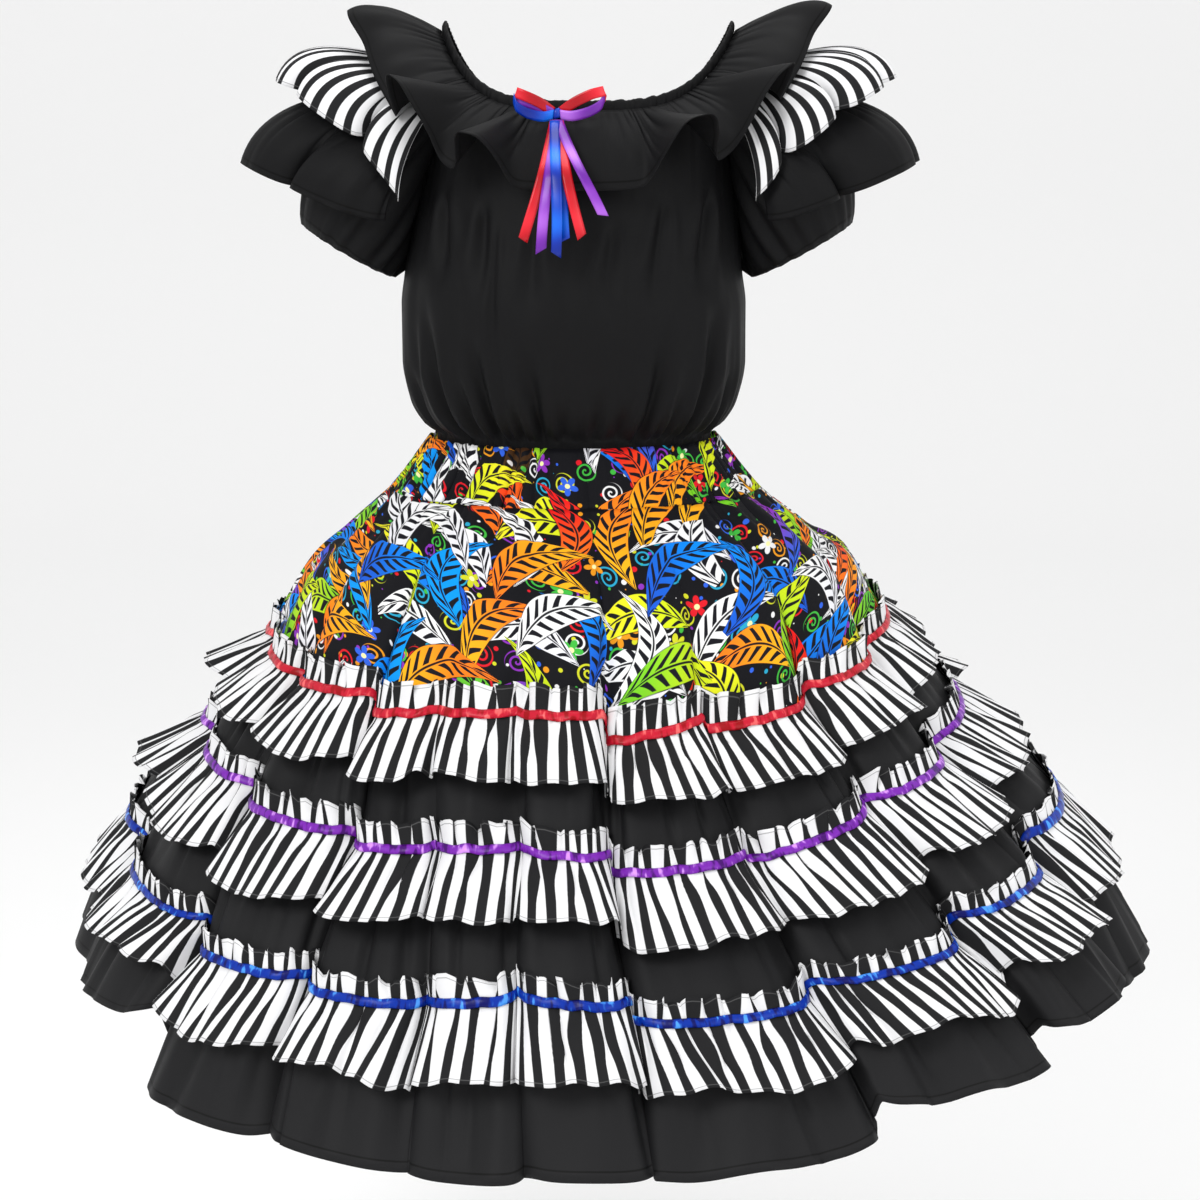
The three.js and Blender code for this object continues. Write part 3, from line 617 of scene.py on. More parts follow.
def skirt_normal(x, s):
    e = 0.012
    across = skirt(x + e, s) - skirt(x - e, s)
    down = skirt(x, np.minimum(s + e, LAST)) - skirt(x, np.maximum(s - e, 0))
    return unit(np.cross(down, across))


def cone(p, s):
    """Outward direction of the smooth cone at a point."""
    lean = hermite(s, RING_I, RINGS[:, 3])
    lo, hi = s - 0.2, np.minimum(s + 0.2, LAST)
    dr, dz = (hermite(hi, RING_I, RINGS[:, k]) - hermite(lo, RING_I, RINGS[:, k]) for k in (0, 2))
    steep = np.arctan2(-dz, dr)
    around = unit(np.stack([p[..., 0] - lean, p[..., 1], 0 * p[..., 0]], -1))
    n = around * np.sin(steep)[..., None]
    n[..., 2] = np.cos(steep)
    return n


def from_ring(ring, d):
    """Ring coordinate d mm below a ring, or above it where d is negative."""
    a, b = RINGS[ring - 1 : ring + 1] if d < 0 else RINGS[ring : ring + 2]
    return ring + d / math.hypot(b[0] - a[0], b[2] - a[2])


PRINT_APART = 5000  # of the back's flat coordinates from the front's


def panel(half, s0, s1, rows, cols, folds, middle=None):
    """Grid of a skirt panel, with creases: folds(x, w, u) gives their height and sideways pull in mm."""
    x, w = np.linspace(*HALVES[half], cols), np.linspace(0, 1, rows)
    s = (s0 + (s1 - s0) * w)[:, None]
    u = arc(skirt(x, (s0 + s1) / 2)[None], 1)[0]
    lift, pull = folds(x[None], w[:, None], u)
    xx = x + pull * np.gradient(x, u)
    flat = arc(skirt(x, s), 1)
    at = cols // 2 if middle is None else int(np.argmin(np.abs(x - middle)))
    flat = flat - flat[:, at : at + 1]
    p = skirt(xx, s)
    p = p + skirt_normal(xx, s) * lift[..., None]
    return p, flat_of(flat + (0 if half == "front" else PRINT_APART), arc(p, 0).mean(axis=1))


def fade(x, half):
    """Creases die out at the side seams, so that both halves meet."""
    x0, x1 = HALVES[half]
    return smooth(x - x0, 0, 0.12) * smooth(x1 - x, 0, 0.12)


MIDDLE = 5.15  # fold coordinate at the middle of the front
BAND_DEEP = 52  # start of the yoke's print, below the waistband's

for half in HALVES:
    back = half == "back"
    middle = None if back else MIDDLE

    def gathered(x):
        """Low where the band is smooth, at the middle of the front, and 1 where it is gathered."""
        return 1.0 + 0 * x if back else 0.12 + 0.88 * smooth(np.abs(x - MIDDLE), 0.7, 1.7)

    # Waistband: elastic gathers, smoother at the middle of the front.
    soft = ripples(5, 14, 30, 21 + back)

    def band_folds(x, w, u):
        sink, pull = gathers(u, 0.25 + 0 * w[:, 0], 11 + back, 8.0, 3.0)
        much = fade(x, half) * gathered(x)
        lift = (1.7 - 4.4 * sink) * (0.75 + 0.35 * w) + soft(u)
        return much * lift - 0.2, much * (pull + 1.6 * soft(u * 0.7 + 20 * w))

    p, uv = panel(half, 0, 1, 12, 420, band_folds, middle)
    uv[..., 0] *= 1.0 + 0.35 * gathered(np.linspace(*HALVES[half], 420))
    cloth("waistband_" + half, p, uv, PRINT, 1.6, "gathered", ["body"])

    # Yoke: many small gathers from the band that run together into soft folds.
    small, wide = ripples(6, 30, 56, 41 + back), ripples(5, 70, 130, 51 + back)

    def yoke_folds(x, w, u):
        sink, pull = gathers(u, w[:, 0], 31 + back, 17, 0.42)
        much = fade(x, half) * gathered(x)
        low = 2.2 * wide(u) * smooth(w, 0.05, 0.5) * (1 - 0.35 * smooth(w, 0.8, 1))
        mid = 1.6 * small(u) * np.exp(-(((w - 0.25) / 0.3) ** 2)) * much
        deep = 1.5 + 2.4 * smooth(w, 0, 0.12)
        return much * deep * (0.5 - 1.1 * sink) + fade(x, half) * low + mid - 0.3, much * 0.85 * pull

    p, uv = panel(half, 1, 4, 36, 340, yoke_folds, middle)
    uv[..., 1] += BAND_DEEP
    cloth("yoke_" + half, p, uv, PRINT, 0.8, "gathered", ["waistband_" + half])

    # Black tiers: sharp little gathers and soft long creases, and a stitched hem on the last.
    for i, (s0, s1, rows) in enumerate(((4, 5, 14), (5, 6, 14), (6, 8, 20))):
        small, wide = ripples(6, 34, 60, 61 + 2 * i + back), ripples(5, 70, 150, 81 + 2 * i + back)

        def tier_folds(x, w, u):
            sink, pull = gathers(u, w[:, 0], 91 + 2 * i + back, 26, 0.85, 0.3)
            sharp, _ = gathers(u, w[:, 0], 191 + 2 * i + back, 34, 1.1, 0.25, 0.13)
            # flat under the ribbons, where the ruffles are sewn on
            much = fade(x, half) * smooth(w, 0, 0.25) * (1 if i == 2 else 1 - 0.9 * smooth(w, 0.78, 0.94))
            soft = 2.3 * small(u + 12 * w) + 4.2 * wide(u + 30 * w) * smooth(w, -0.2, 0.5)
            pleats = 2.4 * sink + 8.5 * sharp
            return much * (soft - pleats + 1.4) - 0.4, much * 0.6 * pull

        p, uv = panel(half, s0, s1, rows, 490, tier_folds)
        uv[..., 1] = uv[..., 1].max() - uv[..., 1]
        black = TIER_HEM if i == 2 else TIER_BLACK
        cloth(f"tier_{i + 1}_{half}", p, uv, black, 0.8, "hung")


# ---- ruffles on the skirt
SPACING = 2.9  # mm of flat cloth between columns
RIBBON_HALF = 4.0  # half the width that shows of the gathered ribbon, in mm
STRIP, FIRST_ROW = 3.6, 4.5  # half of the strip that is sewn flat, and the first row past it, in mm


def ruffle_layout(ring, seed):
    """Free edge of a ruffle round a ring: fold coordinate and swing of its waves, closely spaced."""
    r = np.random.default_rng(seed)
    column = int(np.clip(RINGS[ring, 5], 1, 4)) - 1
    angles = np.append(FOLD_AT[:, column], FOLD_AT[0, column] + 360)
    radius = (RINGS[ring, 0] + RINGS[ring, 1]) / 2
    valley = []
    for k in range(N):
        width = math.radians(angles[k + 1] - angles[k]) * radius
        parts = int(np.clip(round(width / r.uniform(50, 86)), 1, 4))
        shallow = 1 - smooth(FOLD_DEEP[k], 0.5, 0.8)
        valley.append((k + shallow * r.uniform(-0.14, 0.14), 0.1 + 0.9 * min(FOLD_DEEP[k], 1.05)))
        for j in range(1, parts):
            valley.append((k + (j + r.uniform(-0.2, 0.2)) / parts, r.uniform(0.3, 0.95)))
    valley.append((N + valley[0][0], valley[0][1]))
    wide = [(b[0] - a[0]) * radius * TAU / N for a, b in zip(valley, valley[1:])]
    size = [np.clip(w / 88, 0.4, 1.1) * r.uniform(0.82, 1.08) for w in wide]
    xs, out = [], []
    tau = np.linspace(0, 1, 61)[:-1]
    for k in range(len(wide)):
        (a, deep_a), (b, deep_b) = valley[k], valley[k + 1]
        before, after = size[k - 1], size[(k + 1) % len(size)]
        d = np.minimum(tau, 1 - tau)
        first = tau < 0.5
        deep = np.where(first, deep_a, deep_b)
        edge = np.where(first, (before + size[k]) / 2, (after + size[k]) / 2)
        own = mix(edge, size[k], smooth(d, 0, 0.4))
        shape = 1 - np.minimum(deep, 1.05) * np.exp(-((d / 0.16) ** 1.35))
        fold = np.clip(0.25 + 0.75 * deep, 0, 1.05)
        xs.append(a + (b - a) * (tau - 0.85 * fold * np.sin(TAU * tau) / TAU))
        out.append(shape * own)
    x, out = np.concatenate(xs), np.concatenate(out)
    wrap = np.where(x >= N - 0.5, -N, 0)
    order = np.argsort(x + wrap, kind="stable")
    return (x + wrap)[order], out[order]


def build_ruffle(i, seed):
    ring = 4 + i
    low = from_ring(ring, DROP)
    x, out = ruffle_layout(ring, seed)
    x, out = np.append(x, x[0] + N), np.append(out, out[0])
    swing = lambda shape: 5 + 21 * shape
    edge = skirt(x, low)
    edge = edge + cone(edge, low) * swing(out)[:, None]
    u = arc(edge[None])[0]
    count = int(u[-1] / SPACING)
    uu = np.linspace(0, u[-1], count + 1)
    # at the gathers the flat cloth is spread evenly between the fold lines
    marks = np.arange(math.ceil(x[0] * 2) / 2, x[-1] + 1e-6, 0.5)
    marks = np.unique(np.concatenate([[x[0]], marks, [x[-1]]]))
    band_x = np.interp(uu, np.interp(marks, x, u), marks)
    free_x = np.interp(uu, u, x)
    free_out = np.interp(uu, u, out)
    lean = ripples(5, 16, 38, seed + 200)
    stand = ripples(5, 22, 50, seed + 300)
    bend, flute = ripples(5, 15, 34, seed + 500), ripples(5, 30, 64, seed + 600)
    rows_d = np.concatenate(
        [
            np.linspace(-HEADER, -FIRST_ROW, 7),
            [-1.5, 1.5],
            FIRST_ROW + (DROP - FIRST_ROW) * np.linspace(0, 1, 12) ** 1.1,
        ]
    )
    seam = np.minimum(np.minimum(band_x - band_x[0], band_x[-1] - band_x), np.abs(band_x - SEAM))
    calm = smooth(seam, 0, 0.05)
    v_down = np.maximum(rows_d - STRIP, 0) / (DROP - STRIP)
    h_up = np.maximum(-rows_d - STRIP, 0) / (HEADER - STRIP)
    sink, pull = gathers(uu, v_down, seed + 100, 14.0, 0.68)
    uneven = ripples(4, 110, 240, seed + 700)
    fine = ripples(5, 7, 12, seed + 400)
    grid = []
    for j, d in enumerate(rows_d):
        v, h = v_down[j], h_up[j]
        s = from_ring(ring, d)
        place = mix(band_x, free_x, v**0.8)
        per_mm = np.gradient(place, uu)
        if d <= 0:
            side = pull[j] + (1.3 + 5.2 * h) * lean(uu) * calm
            off = (1.3 + 4.4 * h**0.8) * (1.0 - 1.35 * sink[j]) * calm
            off = off + 4.6 * h + 3.4 * h * h * stand(uu) * calm
            up = (2.4 * h * stand(uu * 1.7 + 11) - 2.6 * h * sink[j]) * calm
        else:
            side = 1.5 * pull[j] + 1.7 * (1 + 3 * v) * np.exp(-((v / 0.45) ** 2)) * lean(uu) * calm
            side = side + 2.4 * math.sin(math.pi * min(1.5 * v, 1.0)) * bend(uu) * calm
            deep = 1.3 + 4.0 * smooth(v, 0, 0.25) * (1 - 0.25 * v)
            off = swing(free_out) * v**1.15 + deep * (0.75 - 1.5 * sink[j]) * calm
            off = off + 0.25 * fine(uu) * calm * (1 - v) + 2.8 * v * v * flute(uu) * calm
            up = (1.8 * v * v * flute(uu + 9) + 4.6 * v * uneven(uu)) * calm
        xr = place + side * per_mm
        p = skirt(xr, s)
        p = p + skirt_normal(xr, s) * (LIFT + 1.2) + cone(p, s) * np.maximum(off, -1.0)[:, None]
        p[:, 2] += up
        grid.append(p)
    return np.array(grid), flat_of(uu, rows_d + HEADER), band_x


def build_ribbon(i, half):
    """Puckered satin over the gathers of a ruffle."""
    ring = 4 + i
    x0, x1 = HALVES[half]
    x = np.linspace(x0, x1, 400)
    length = arc(skirt(x, ring)[None])[0]
    pucker, wobble = ripples(6, 11, 24, 700 + 2 * i + (half == "back")), ripples(5, 24, 60, 720 + 2 * i)
    ends = smooth(np.minimum(x - x0, x1 - x), 0, 0.06)
    across = np.linspace(-RIBBON_HALF, RIBBON_HALF, 5)
    rows = []
    for d in across:
        s = from_ring(ring, d)
        bulge = 0.9 * (1 - (d / RIBBON_HALF) ** 2)
        lift = LIFT + 3.0 + bulge + (0.5 * pucker(length + 1.6 * d) + 0.35 * wobble(length)) * ends
        rows.append(skirt(x, s) + skirt_normal(x, s) * lift[:, None])
        rows[-1][:, 2] += 0.8 * wobble(length * 1.4 + 30) * ends
    return np.array(rows), flat_of(length, across)


for i, tone in enumerate(("red", "purple", "blue")):
    grid, uv, band_x = build_ruffle(i, 500 + 17 * i)
    split = int(np.argmin(np.abs(band_x - SEAM)))
    names = {half: (f"ruffle_{i + 1}_{half}", f"ribbon_{i + 1}_{half}") for half in HALVES}
    for (ruffle, ribbon), cut in zip(names.values(), (slice(0, split + 1), slice(split, None))):
        cloth(ruffle, grid[:, cut], uv[:, cut], STRIPES, 0.6, "gathered", [ribbon])
    for half, (ruffle, ribbon) in names.items():
        cloth(ribbon, *build_ribbon(i, half), RIBBON[tone], 0.4, "gathered", [ruffle], RIBBON_CUT)


# ---- blouse surface
def shoulder_lean(z):
    return 14 * np.clip((z - 150) / 222, 0, 1)


def torso(angle, z):
    a = np.radians(angle)
    front = hermite(z, TORSO[:, 0], TORSO[:, 2])
    back_ = hermite(z, TORSO[:, 0], TORSO[:, 3])
    depth = np.where(np.cos(a) > 0, front, back_)
    rx = hermite(z, TORSO[:, 0], TORSO[:, 1])
    return np.stack([shoulder_lean(z) + rx * np.sin(a), -depth * np.cos(a), z + 0 * a], -1)


def neck_height(angle):
    a = np.radians(angle)
    mid = np.where(np.cos(a) > 0, NECK_FRONT, NECK_BACK)
    return mid + (NECK_SIDE - mid) * np.abs(np.sin(a)) ** NECK_POWER


def under_casing(angle):
    return torso(angle, neck_height(angle) - CASING - CASING_GAP)


def raglan(w, side, front):
    """Seam between bodice and sleeve: w 0 at the casing, 1 at the underarm."""
    w = np.clip(w, 0, 1)
    angle = mix(CORNER, 90, w**0.85)
    z = mix(neck_height(np.array(CORNER)) - CASING - CASING_GAP, UNDERARM, w)
    return torso(side * (angle if front else 180 - angle), z)


# Creases of the blouse: angle and height where each starts and ends, depth and half width in mm.
BLOUSE_CREASES = {
    "front": [
        (-66, 6, -68, 74, 4.8, 6), (-48, 6, -58, 140, 9.1, 7), (-38, 6, -40, 60, 4.8, 5),
        (-29, 6, -36, 118, 8.4, 6.5), (-19, 6, -20, 48, 4.2, 5), (-11, 6, -16, 104, 7.0, 6.5),
        (-3, 6, -3, 44, 3.4, 5), (8, 6, 10, 60, 3.6, 5), (17, 6, 18, 42, 4.2, 5),
        (26, 6, 33, 112, 8.1, 6.5), (37, 6, 39, 52, 4.5, 5), (47, 6, 57, 142, 9.1, 7),
        (63, 6, 66, 78, 5.0, 6), (-33, 208, -30, 118, 5.6, 8), (-14, 190, -13, 96, 4.2, 8),
        (13, 190, 11, 104, 4.5, 8), (31, 208, 27, 112, 6.2, 8), (-53, 216, -46, 124, 7.0, 9),
        (52, 216, 45, 120, 7.3, 9), (-27, 190, -26, 50, 3.1, 4),
    ],
    "back": [
        (-64, 6, -66, 82, 4.8, 6), (-45, 6, -53, 130, 8.7, 7), (-33, 6, -35, 58, 4.5, 5),
        (-22, 6, -27, 112, 7.8, 6.5), (-10, 6, -11, 50, 4.2, 5), (2, 6, 4, 98, 6.4, 6.5),
        (12, 6, 14, 46, 3.9, 5), (24, 6, 30, 116, 7.8, 6.5), (36, 6, 38, 56, 4.5, 5),
        (49, 6, 58, 136, 9.0, 7), (65, 6, 67, 70, 4.8, 6), (-30, 206, -28, 134, 3.9, 7),
        (9, 192, 8, 118, 2.8, 7), (33, 206, 30, 140, 3.9, 7), (-52, 214, -46, 150, 4.8, 8),
        (53, 214, 47, 144, 4.8, 8),
    ],
}


def creases(table, girth, z):
    """Soft troughs with a low ridge on each side: how far each point of the cloth sinks, in mm."""
    sink = 0 * z
    for a0, z0, a1, z1, deep, half in table:
        g0, g1 = math.radians(a0) * GIRTH, math.radians(a1) * GIRTH
        run = math.hypot(g1 - g0, z1 - z0)
        ahead, up = (g1 - g0) / run, (z1 - z0) / run
        along = ((girth - g0) * ahead + (z - z0) * up) / run
        aside = ((girth - g0) * up - (z - z0) * ahead) / (half * (0.6 + 0.8 * np.clip(along, 0, 1)))
        much = deep * smooth(along, -0.10, 0.08) * (1 - smooth(along, 0.35, 1.0))
        sink = sink + much * (np.exp(-(aside**2)) - 0.35 * np.exp(-((np.abs(aside) - 1.9) ** 2)))
    return sink


def bodice(half, rows=48, cols=230):
    front = half == "front"
    c = np.linspace(0, 22, cols)  # 6 to 16 along the neck, the rest along the raglan seams
    neck = -CORNER + 10 * (np.clip(c, 6, 16) - 6)
    top = np.where(
        (c < 6)[:, None],
        raglan((6 - c) / 6, -1, front),
        np.where(
            (c > 16)[:, None], raglan((c - 16) / 6, 1, front), under_casing(neck if front else 180 - neck)
        ),
    )
    lean = shoulder_lean(top[:, 2])
    rx, dy = (hermite(top[:, 2], TORSO[:, 0], TORSO[:, k]) for k in (1, 2 if front else 3))
    high = np.degrees(np.arctan2((top[:, 0] - lean) / rx, np.abs(top[:, 1]) / dy))
    share = (1 - np.linspace(0, 1, rows) ** 0.9)[:, None]
    angle = mix(-90 + 180 * c / 22, high, share**1.2)
    z = mix(-14, top[:, 2], share)
    p = torso(angle if front else 180 - angle, z)
    if not front:
        p, angle, z = p[:, ::-1], -angle[:, ::-1], z[:, ::-1]
    girth = np.radians(angle) * GIRTH
    seed = 900 if front else 950
    tiny, small, wide = ripples(6, 8, 13, seed), ripples(6, 17, 32, seed + 1), ripples(5, 45, 90, seed + 2)
    waist = np.exp(-np.maximum(z - 8, 0) / 26) * smooth(z, 0, 10)
    rise = np.exp(-np.maximum(z - 12, 0) / 75) * smooth(z, 2, 26)
    lift = calm_ends(cols, 7.6) * (
        1.5 * tiny(girth * 0.9) * waist
        + 1.6 * small(girth + 0.06 * z) * rise
        + 2.2 * wide(girth * 1.1 - 0.1 * z) * np.exp(-(((z - 70) / 75) ** 2))
        + 1.6 * small(girth * 1.7 + 5) * np.exp(-(1 - share) / 0.10)
        - creases(BLOUSE_CREASES[half], girth, z)
    )
    p = p + grid_normals(p) * lift[..., None]
    return p, flat_of(arc(p, 1)[rows // 2], arc(p, 0).mean(axis=1))


for half in HALVES:
    cloth("bodice_" + half, *bodice(half), BLACK, 0.9, "hung", ["neck_casing_" + half])

# Section of the neck casing, round over its elastic: below the neckline and out from the blouse, in mm.
CASING_SECTION = [(0.0, -0.6), (0.6, 0.8), (2.5, 1.7), (5.5, 2.0), (8.5, 1.6), (10.4, 0.7), (11.0, -0.2)]


def neck_casing(half, cols=300):
    a = np.linspace(-90, 90, cols) + (0 if half == "front" else 180)
    ends = calm_ends(cols, 4.3)
    length = arc(torso(a, neck_height(a))[None])[0]
    fine, slow = ripples(6, 3.6, 6, 1000 + (half == "back")), ripples(4, 9, 16, 1010)
    n = unit(round_about(a, 0.3))
    rows = []
    for k, (down, out) in enumerate(CASING_SECTION):
        out = out + (0.75 * fine(length) + 0.45 * slow(length)) * ends
        rows.append(torso(a, neck_height(a) - down) + n * out[:, None])
        rows[-1][:, 2] += 0.55 * slow(length + 3 * k) * ends
    return np.array(rows), flat_of(length, np.linspace(0, 12, len(rows)))


for half in HALVES:
    cloth("neck_casing_" + half, *neck_casing(half), BLACK, 1.6, "gathered", ["body"])


def three_point(a, m, b, v):
    """Curve from a through m, half way, to b."""
    return 2 * (v - 0.5) * (v - 1) * a - 4 * v * (v - 1) * m + 2 * v * (v - 0.5) * b


# Flutes of the neck ruffle, where the cloth stands off the blouse: angle and half width in degrees,
# rise and reach in mm.
NECK_FLUTES = [
    (-41, 5.0, 56, 30), (-22.5, 5.2, 42, 34), (25, 6.2, 54, 36), (46, 5.2, 50, 30),
    (-78, 6.0, 9, 10), (82, 6.0, 9, 10), (101, 5.0, 14, 14), (118, 6.0, 34, 26), (143, 6.5, 34, 30),
    (170, 6.0, 38, 32), (199, 7.0, 36, 30), (224, 6.0, 34, 28), (246, 6.0, 36, 26), (259, 5.0, 12, 12),
]


def neck_base(a, front):
    """Edge of the ruffle where it lies on the blouse."""
    depth, low = (138, 226) if front else (146, 221)
    r = np.radians(a)
    s, c, square = np.sin(r), np.cos(r), np.sin(2 * r) ** 2
    z = low + (377 - low) * np.abs(s) ** 3.2
    x, y = shoulder_lean(z) + 205 * s * (1 + 0.03 * square), -depth * c * (1 + 0.10 * square)
    return np.stack([x, y, z], -1)


def fluted(p, a, v, ends=1.0, pull=0.0):
    """A row of points at share v of the way to the free edge, moved out to the flutes and pulled aside."""
    rise, reach, side = 0 * a, 0 * a, 0 * a
    for at, half, up, out in NECK_FLUTES:
        d = (np.mod(a - at + 540, 360) - 180) / (half * (0.45 + 0.55 * v))
        crest = np.exp(-np.abs(d) ** 3.2) * v**1.25
        rise, reach = rise + up * crest, reach + out * crest
        side = side + 0.10 * up * d * np.exp(-(d**2)) * v**1.5
    side = (side + pull) * ends
    s, c = np.sin(np.radians(a)), np.cos(np.radians(a))
    return p + np.stack([s * reach + c * side, s * side - c * reach, rise], -1)


def neck_ruffle(half, rows=22, cols=420):
    front = half == "front"
    dense = np.linspace(-90, 90, 2400) + (0 if front else 180)
    run = arc(fluted(neck_base(dense, front), dense, 1.0)[None])[0]
    length = np.linspace(0, run[-1], cols)
    a = np.interp(length, run, dense)
    even = mix(a, np.linspace(dense[0], dense[-1], cols), 0.35)
    attach = torso(even, neck_height(even) - 0.75 * CASING) + round_about(a) * 3.0
    base, level = neck_base(a, front), np.abs(np.sin(np.radians(a)))
    up = unit(round_about(a, 1.2 * level**3))
    mid = mix(attach, base, 0.5) + up * mix(9, 17, level**2)[:, None]
    seed = 1100 + 10 * (not front)
    vs = np.linspace(0, 1, rows)
    sink, pull = gathers(length, vs, seed, 13, 0.5)
    small, wave = ripples(6, 24, 44, seed + 1), ripples(5, 50, 90, seed + 2)
    ends = calm_ends(cols, 6.0)
    grid = []
    for j, v in enumerate(vs):
        lift = (2.4 * smooth(v, 0, 0.12) + 1.0) * (0.55 - 1.25 * sink[j])
        lift = (lift + 1.3 * small(length) * np.sin(np.pi * v) + 1.8 * wave(length) * v) * ends
        row = three_point(attach, mid, base, v) + up * lift[:, None]
        grid.append(fluted(row, a, v, ends, 0.5 * pull[j]))
    down = arc(np.array(grid), 0).mean(axis=1)
    return np.array(grid), flat_of(length, down[-1] - down)


for half in HALVES:
    cloth("neck_ruffle_" + half, *neck_ruffle(half), BLACK_HEM, 0.7, "gathered", ["neck_casing_" + half])


# ---- sleeves and shoulder ruffles
def sleeve_top(m, side):
    am = np.abs(m)
    neck = under_casing(side * (90 + 10 * np.clip(m, -4, 4)))
    w = (am - 4) / 6
    rag = np.where((m < 0)[..., None], raglan(w, side, True), raglan(w, side, False))
    return np.where((am <= 4)[..., None], neck, rag)


def sleeve_point(m, share, side):
    m, share = np.broadcast_arrays(np.asarray(m, float), np.asarray(share, float))
    turn = np.pi * m / 10
    k = (1 + np.cos(turn)) / 2
    z = mix(144, 194, k)
    hem = np.stack([shoulder_lean(z) + side * mix(162, 250, k), 56 * np.sin(turn), z], -1)
    out = unit(np.stack([side * 0.81 * np.cos(turn), np.sin(turn), 0.59 * np.cos(turn)], -1))
    puff = 38 * k**0.7 * np.sin(np.pi * np.clip(share, 0, 1)) ** 0.8
    return mix(sleeve_top(m, side), hem, share[..., None]) + out * puff[..., None]


def sleeve(side, rows=32, cols=170):
    m = np.linspace(-10, 10, cols)[None]
    share = np.linspace(0.006, 1, rows)[:, None]
    p = sleeve_point(m, share, side)
    if side < 0:
        p, m = p[:, ::-1], -m[:, ::-1]
    seed = 1200 + (side < 0)
    length = arc(p)[14]  # of a row near the fullest part of the puff
    tiny, small = ripples(6, 8, 13, seed), ripples(6, 20, 40, seed + 10)
    hem_gather, neck_gather = np.exp(-(1 - share) / 0.12), np.exp(-share / 0.15)
    lift = (0.2 * hem_gather + 1.3 * neck_gather) * tiny(length)
    lift = lift + 2.8 * small(length) * (1 - 0.6 * neck_gather) * (1 - 0.8 * hem_gather)
    p = p + grid_normals(p) * (smooth(10 - np.abs(m), 0, 0.6) * lift)[..., None]
    down = arc(p, 0).mean(axis=1)
    return p, flat_of(length, down[-1] - down)


# Ruffles over the sleeves. Gathers: share of the way down the sleeve, span round it. Free edge: half width
# at the underarm and what the top adds; depth in front and at the back; height at the underarm, rise, power.
# Direction out of it, as x, x added at the top, z there. Bulge at the underarm and at the top. Swing of the
# edge in at a valley, and its draw up to the gathers. Angles apart, all in mm.
STRIPED = (0.22, 4), (153, 113), (94, 93), (217, 99, 0.6), (0.35, 0.5, 0.75), (15, 24), 26, 24
SLEEVE_BLACK = (0.45, 5), (166, 130), (88, 80), (198, 46, 1.2), (0.3, 0.6, 0.5), (6, 18), 28, 6
# Their valleys between the flutes: place from -1 in front to 1 at the back, and depth.
STRIPED_VALLEYS = {
    "left": [(-1, 0.2), (-0.88, 0.9), (-0.6, 1.0), (-0.2, 0.8), (0.24, 0.9), (0.62, 0.9), (1, 0.3)],
    "right": [(-1, 0.2), (-0.8, 1.0), (-0.34, 0.6), (-0.06, 0.75), (0.3, 0.9), (0.66, 0.8), (1, 0.3)],
}
BLACK_VALLEYS = {
    "left": [(-1, 0.4), (-0.66, 1.0), (-0.1, 0.25), (0.36, 0.9), (0.68, 0.7), (1, 0.5)],
    "right": [(-1, 0.4), (-0.52, 1.0), (0.02, 0.25), (0.44, 0.9), (1, 0.5)],
}


def shoulder_ruffle(side, form, valleys, seed, rows=18, cols=260):
    (share, span), wide, deep_y, high, lean, arch, swing, draw = form
    ts, shapes = [], []
    tau = np.linspace(0, 1, 81)[:-1]
    for (t0, deep0), (t1, deep1) in zip(valleys, valleys[1:]):
        d = np.minimum(tau, 1 - tau)
        deep = np.where(tau < 0.5, deep0, deep1)
        ts.append(t0 + (t1 - t0) * (tau - 0.92 * deep * np.sin(TAU * tau) / TAU))
        shapes.append(1 - deep * np.exp(-((d / 0.17) ** 1.25)))
    t, shape = np.concatenate([*ts, [t1]]), np.concatenate([*shapes, [1 - deep1]])

    def free_edge(t):
        """Points of the free edge, and the direction out of it, round the arm."""
        c, s = np.maximum(np.cos(np.radians(90 * t)), 0), np.sin(np.radians(90 * t))
        z = high[0] + high[1] * c ** high[2]
        x, y = shoulder_lean(z) + side * (wide[0] + wide[1] * c), np.where(s < 0, *deep_y) * s
        out = np.stack([side * (lean[0] + lean[1] * c), s, lean[2] * c], -1)
        return np.stack([x, y, z], -1), unit(out)

    edge, out = free_edge(t)
    run = arc((edge + out * (swing * (shape - 0.6))[:, None])[None])[0]
    length = np.linspace(0, run[-1], cols)
    t, shape = np.interp(length, run, t), np.interp(length, run, shape)
    edge, out = free_edge(t)
    m, e = span * np.linspace(-1, 1, cols), 0.02
    across = sleeve_point(m + e, share, side) - sleeve_point(m - e, share, side)
    down = sleeve_point(m, share + e, side) - sleeve_point(m, share - e, side)
    attach = sleeve_point(m, share, side) + unit(np.cross(down, across)) * side * 1.6
    vs = np.linspace(0, 1, rows)
    sink, pull = gathers(length, vs, seed, 14, 0.6)
    small = ripples(5, 26, 50, seed + 1)
    bulge = mix(arch[0], arch[1], np.clip(np.cos(np.radians(90 * t)), 0, 1))
    mid = mix(attach, edge, 0.5) + out * (bulge + swing * 0.6 * (shape - 0.6))[:, None]
    end = edge + out * (swing * (shape - 0.6))[:, None]
    end = end + unit(edge - attach) * (draw * (shape - 0.75))[:, None]
    along = unit(np.gradient(edge, axis=0))
    grid = []
    for j, v in enumerate(vs):
        d = (2.6 * (0.5 - 1.2 * sink[j]) + 1.2 * small(length) * v) * smooth(v, 0, 0.06)
        row = three_point(attach, mid, end, v) + out * np.maximum(d, -1.5 - 30 * v)[:, None]
        grid.append(row + along * (0.9 * pull[j] * smooth(v, 0, 0.1))[:, None])
    p = np.array(grid)
    down = arc(p, 0)
    uv = flat_of(0.95 * length, down[-1:] - down)
    return (p[:, ::-1], uv[:, ::-1]) if side < 0 else (p, uv)


